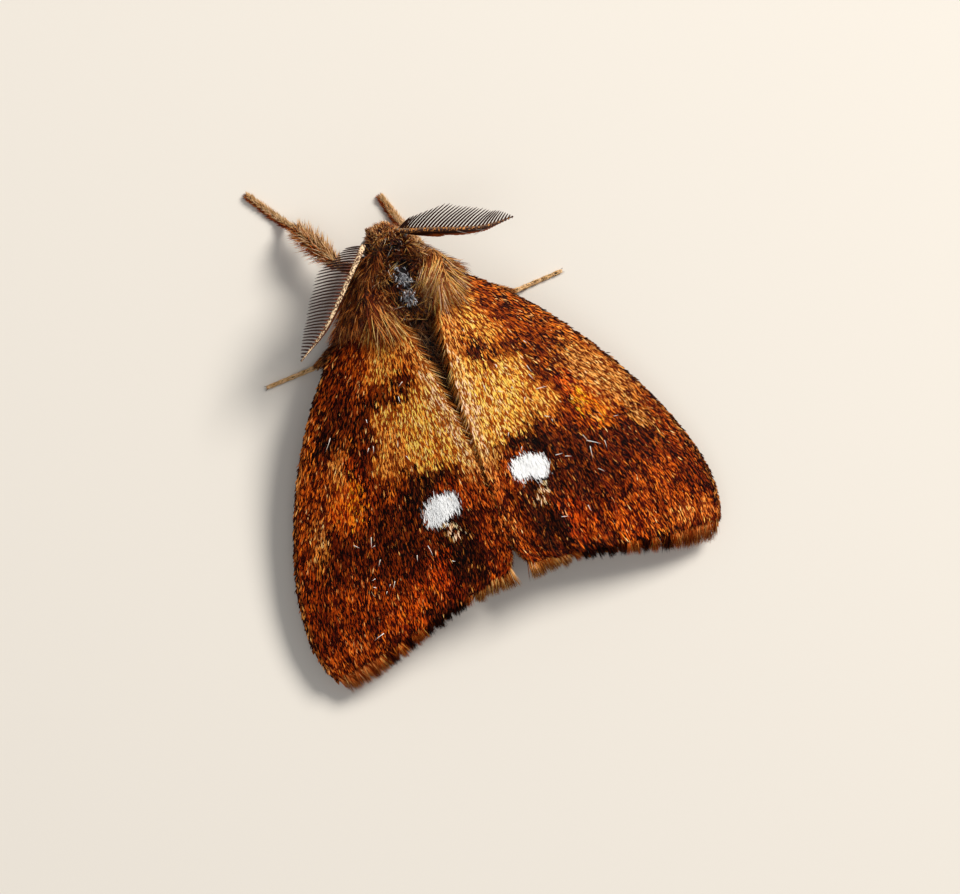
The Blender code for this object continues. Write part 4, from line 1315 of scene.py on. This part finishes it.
def make_leg_hair():
    """Hair of the legs: thick brushes on the forelegs' shins, short hair elsewhere, scales on the feet."""
    front, rear, feet = Coat(), Coat(), Coat()
    columns = {name: 0.02 + i * 0.16 for i, name in enumerate(LEGS)}  # of the chart
    for name in ("foreleg_left", "foreleg_right"):
        thigh, shin, foot = leg_lines(name)
        count, lengths, rise = (1200, (0.25, 0.9), 1.1) if name.endswith("left") else (900, (0.15, 0.3), 0.4)
        limb_hair(front, thigh, [0.17, 0.2, 0.1], 700, (0.2, 0.4), 0.013, 0.45, columns[name])
        limb_hair(front, shin, [0.12, 0.17, 0.1], count, lengths, 0.019, rise, columns[name], brush_tones_and_painted_light,
                  0.8, LONG)
        limb_hair(feet, foot, 1.35 * foot_radii(), 1200, (0.16, 0.34), 0.018, 0.7, columns[name],
                  dark_with_painted_lit_edge, 0.4)
    for side, _ in SIDES:
        limb_hair(front, palp_line(side), [0.14, 0.09], 400, (0.12, 0.2), 0.012, 0.35, 0.6)
    for name in ("midleg_left", "midleg_right", "hindleg_left", "hindleg_right"):
        thigh, shin, foot = leg_lines(name)
        fullness = 1.0 if name.startswith("mid") else 0.5  # the wings hide the hind legs
        for coat, path, radii, count, lengths, width, rise, *more in (
                (rear, thigh, [0.17, 0.2, 0.1], 700, (0.2, 0.4), 0.014, 0.45),
                (rear, shin, [0.11, 0.13, 0.09], 1000, (0.18, 0.34), 0.014, 0.4),
                (feet, foot, foot_radii() + 0.004, 1300, (0.1, 0.15), 0.017, 0.12, cream, 0.1)):
            limb_hair(coat, path, radii, int(count * fullness), lengths, width, rise, columns[name], *more)
    add_piece(front.mesh("foreleg_hair"), "leg_hair")
    add_piece(rear.mesh("rearleg_hair"), "leg_hair")
    add_piece(feet.mesh("foot_scales"), "leg_hair", slot="foot_scales")


def make_claws():
    """A pair of small hooked claws at the end of each foot."""
    bm = bmesh.new()
    for name in LEGS:
        *_, rest, tip = leg_path(name)
        ahead = unit((tip - rest)[None])[0]
        aside = np.array([-ahead[1], ahead[0], 0.0])
        start = tip - ahead * 0.05
        for hand in (1, -1):
            hook = [start + ahead * 0.17 * u + aside * hand * (0.03 + 0.06 * u)
                    + np.array([0, 0, 0.03 * math.sin(u * 2.4) - 0.055 * u]) for u in np.linspace(0, 1, 6)]
            tube(bm, hook, np.linspace(0.022, 0.004, 6), sides=6)
    mesh = finished("claws", bm)
    plain_tags(mesh)
    add_piece(mesh, "claw", slot="foot_scales")


# ---------------------------------------------------------------- antennae and eyes

def make_stem(name, side, path):
    """The antenna's stem, with cream scales on its back."""
    bm = bmesh.new()
    share = np.linspace(0, 1, len(path))
    tube(bm, path, np.interp(share, [0, 0.04, 0.12, 0.6, 1], [0.09, 0.112, 0.1, 0.075, 0.024]))
    mesh = finished(name + "_stem", bm)
    normals = np.empty(3 * len(mesh.vertices), np.float32)
    mesh.vertices.foreach_get("normal", normals)
    edge = 0.4 if side == LEFT else 1.25
    plain_tags(mesh, kind=np.clip(edge - 1.5 * normals.reshape(-1, 3) @ np.array(STEM_BACK[side]), 0, 1))
    add_piece(mesh, "antenna_stem", name, slot="antenna")


def make_antenna(side, word):
    """A feathered antenna: a scaled stem with two rows of fine teeth, each fringed with bristles."""
    name = "antenna_" + word
    path = smooth_through(ANTENNAE[side], 60)
    make_stem(name, side, path)
    coat = Coat()
    teeth, lean = TEETH[side], TOOTH_LEAN[side]
    share = ((np.arange(teeth) + 0.6) / teeth) ** 1.15
    base, index = points_along(path, share)
    along = unit(np.gradient(path, axis=0)[index])
    out = unit(np.cross(along, [0, 0, float(side)]))
    up = np.cross(out, along) * side
    rise = UPPER_RISE[side]
    full = TOOTH_LENGTH * np.minimum(1.0, 0.5 + 2.6 * share) * (1 - share**2.3)
    short = TOOTH_LENGTH * np.minimum(1.0, 0.75 + 2.6 * share) * (1 - share**1.5)
    # Each row of teeth: the way they point, length, width, column of the chart, and kind.
    rows = ((out * math.cos(rise) + up * math.sin(rise), full, 0.046, 0.25, 0.0),
            (-up * math.cos(LOWER_BACK) - out * math.sin(LOWER_BACK), short, 0.06, 0.75, 0.8))
    for aim_out, length, width, column, kind in rows:
        length = np.maximum(length * RANDOM.uniform(0.97, 1.03, teeth), 0.05)
        lie = unit(along * math.cos(lean) + aim_out * math.sin(lean))
        curve = along * 0.2 - aim_out * 0.05
        face = unit(np.cross(lie, along))
        coat.grow(TOOTH, base, lie, face, length, width, bend=curve, thick=1.0,
                  chart=np.column_stack([share, np.full(teeth, column)]), kind=kind)
        grow_bristles(coat, base, lie, length, curve, face, share, column)
    add_piece(coat.mesh(name + "_teeth"), "antenna_tooth", slot="antenna")


def grow_bristles(coat, base, lie, length, curve, face, share, column):
    """Fine bristles down both sides of every tooth."""
    part = (np.arange(BRISTLES) + 0.5) / BRISTLES
    run = length[:, None, None] * part[None, :, None]
    spot = (base[:, None] + lie[:, None] * run + curve[:, None] * run * part[None, :, None]).reshape(-1, 3)
    ahead = np.repeat(lie, BRISTLES, axis=0)
    flat = np.repeat(face, BRISTLES, axis=0)
    chart = np.column_stack([np.repeat(share, BRISTLES), column + 0.2 * np.tile(part, len(base))])
    for hand in (1, -1):
        coat.grow(FINE, spot, ahead * 0.7 + np.cross(ahead, flat) * hand, flat, 0.022, 0.008, thick=1.0,
                  chart=chart)


def make_eyes():
    x, y, z = EYE_CENTRE
    for side, word in SIDES:
        bm = bmesh.new()
        bmesh.ops.create_icosphere(bm, subdivisions=4, radius=EYE_RADIUS)
        bmesh.ops.translate(bm, verts=bm.verts, vec=(side * x, y, z))
        mesh = finished("compound_eye_" + word, bm)
        plain_tags(mesh)
        add_piece(mesh, "eye", "eye_" + word)


def make_stray_hairs():
    """Pale loose hairs caught in the wings' scales and on the right antenna."""
    coat = Coat()
    count = 15  # small ones on each wing, besides those that have a place of their own
    for side, _ in SIDES:
        known = [row[1:] for row in STRAYS if row[0] == side]
        plan = RANDOM.uniform((1.0, 3.5), (5.5, 10.5), (count, 2))
        turns, lengths = RANDOM.uniform(-60, 90, count), RANDOM.uniform(0.12, 0.3, count)
        x, y, turn, length = np.vstack([known, np.column_stack([plan, turns, lengths])]).T
        root = np.column_stack([side * x, y, height_over_wing(side, side * x, y, 1.0) - 0.01])
        turn = np.radians(turn)
        lie = np.column_stack([side * np.sin(turn), np.cos(turn), np.full(len(x), -0.05)])
        up = np.tile([0.1 * side, 0.0, 1.0], (len(x), 1))
        coat.grow(LONG, root, lie, up, length, RANDOM.uniform(0.016, 0.026, len(x)),
                  bend=up * 0.03 + np.cross(up, lie) * RANDOM.normal(0, 0.1, (len(x), 1)), thick=0.7,
                  chart=np.column_stack([0.1 * x, 0.07 * y]))
    roots, lies, lengths = (np.array(column) for column in zip(*ANTENNA_STRAYS))
    coat.grow(LONG, roots, lies, np.tile([0.0, 0.0, 1.0], (3, 1)), lengths, 0.018,
              bend=np.array([0.0, 0.06, 0.0]), thick=0.7,
              chart=np.array([(0.9, 0.1), (0.9, 0.2), (0.9, 0.3)]))
    add_piece(coat.mesh("stray_hairs"), "pale_stray_hair", slot="forewing_scales")


# ---------------------------------------------------------------- floor, light and camera

def make_floor():
    bm = bmesh.new()
    bmesh.ops.create_grid(bm, x_segments=1, y_segments=1, size=0.6)
    mesh = to_mesh("floor", bm)
    made, _, shader = new_material("pale_floor", 0.9, 0.2)
    shader.inputs["Base Color"].default_value = (0.78, 0.73, 0.66, 1.0)
    mesh.materials.append(made)
    new_object("floor", mesh)


FOCUS = Vector((np.array([-0.425, 6.55, 1.6]) + SHIFT) * MM)  # what the camera and the lights point at
DISTANCE = 0.22  # metres from the camera to there
VIEW_WIDTH = 35.96  # millimetres across the view there
SENSOR = 36.0
HEADING = math.atan2(0.386, 0.9225)  # the moth's axis is turned this far in the view
LEAN = math.radians(6.5)  # the camera leans this far from straight above, towards the moth's left
# Lights: the way they stand from the moth, distance and size in metres, power and colour.
LIGHTS = {"key": ((-0.85, -0.4, 0.8), 0.35, 0.16, 1.5, (1.0, 0.97, 0.92)),
          "fill": ((0.3, 0.2, 1.0), 0.4, 0.3, 0.25, (1.0, 1.0, 1.0))}


def make_camera():
    lens = bpy.data.cameras.new("camera")
    lens.sensor_width = SENSOR
    lens.lens = SENSOR * DISTANCE / (VIEW_WIDTH * MM)
    lens.clip_start = 0.01
    lens.clip_end = 5.0
    camera = new_object("camera", lens)
    camera.location = FOCUS + DISTANCE * Vector((math.sin(LEAN), 0.0, math.cos(LEAN)))
    back = (camera.location - FOCUS).normalized()
    right = Vector((-math.sin(HEADING), -math.cos(HEADING), 0.0)).cross(back).normalized()
    camera.rotation_euler = Matrix((right, back.cross(right), back)).transposed().to_euler()
    bpy.context.scene.camera = camera


def make_light():
    world = bpy.data.worlds.new("studio")
    world.use_nodes = True
    background = world.node_tree.nodes["Background"]
    background.inputs["Color"].default_value = (0.95, 0.97, 1.0, 1.0)
    background.inputs["Strength"].default_value = 0.27
    bpy.context.scene.world = world
    for name, (direction, distance, size, power, colour) in LIGHTS.items():
        lamp = bpy.data.lights.new(name, "AREA")
        lamp.shape = "DISK"
        lamp.size = size
        lamp.energy = power
        lamp.color = colour
        made = new_object(name, lamp)
        made.location = FOCUS + Vector(direction).normalized() * distance
        made.rotation_euler = (FOCUS - made.location).normalized().to_track_quat("-Z", "Y").to_euler()
    bpy.context.scene.view_settings.view_transform = "Standard"


# ---------------------------------------------------------------- the moth

MATERIALS = make_materials()
make_camera()
make_light()
make_floor()
make_skin()
make_trunk_hair()
make_leg_hair()
make_claws()
make_eyes()
for side, word in SIDES:
    make_forewing(side, word)
    make_hindwing(side, word)
    make_shoulder_hair(side, word)
    make_antenna(side, word)
make_stray_hairs()
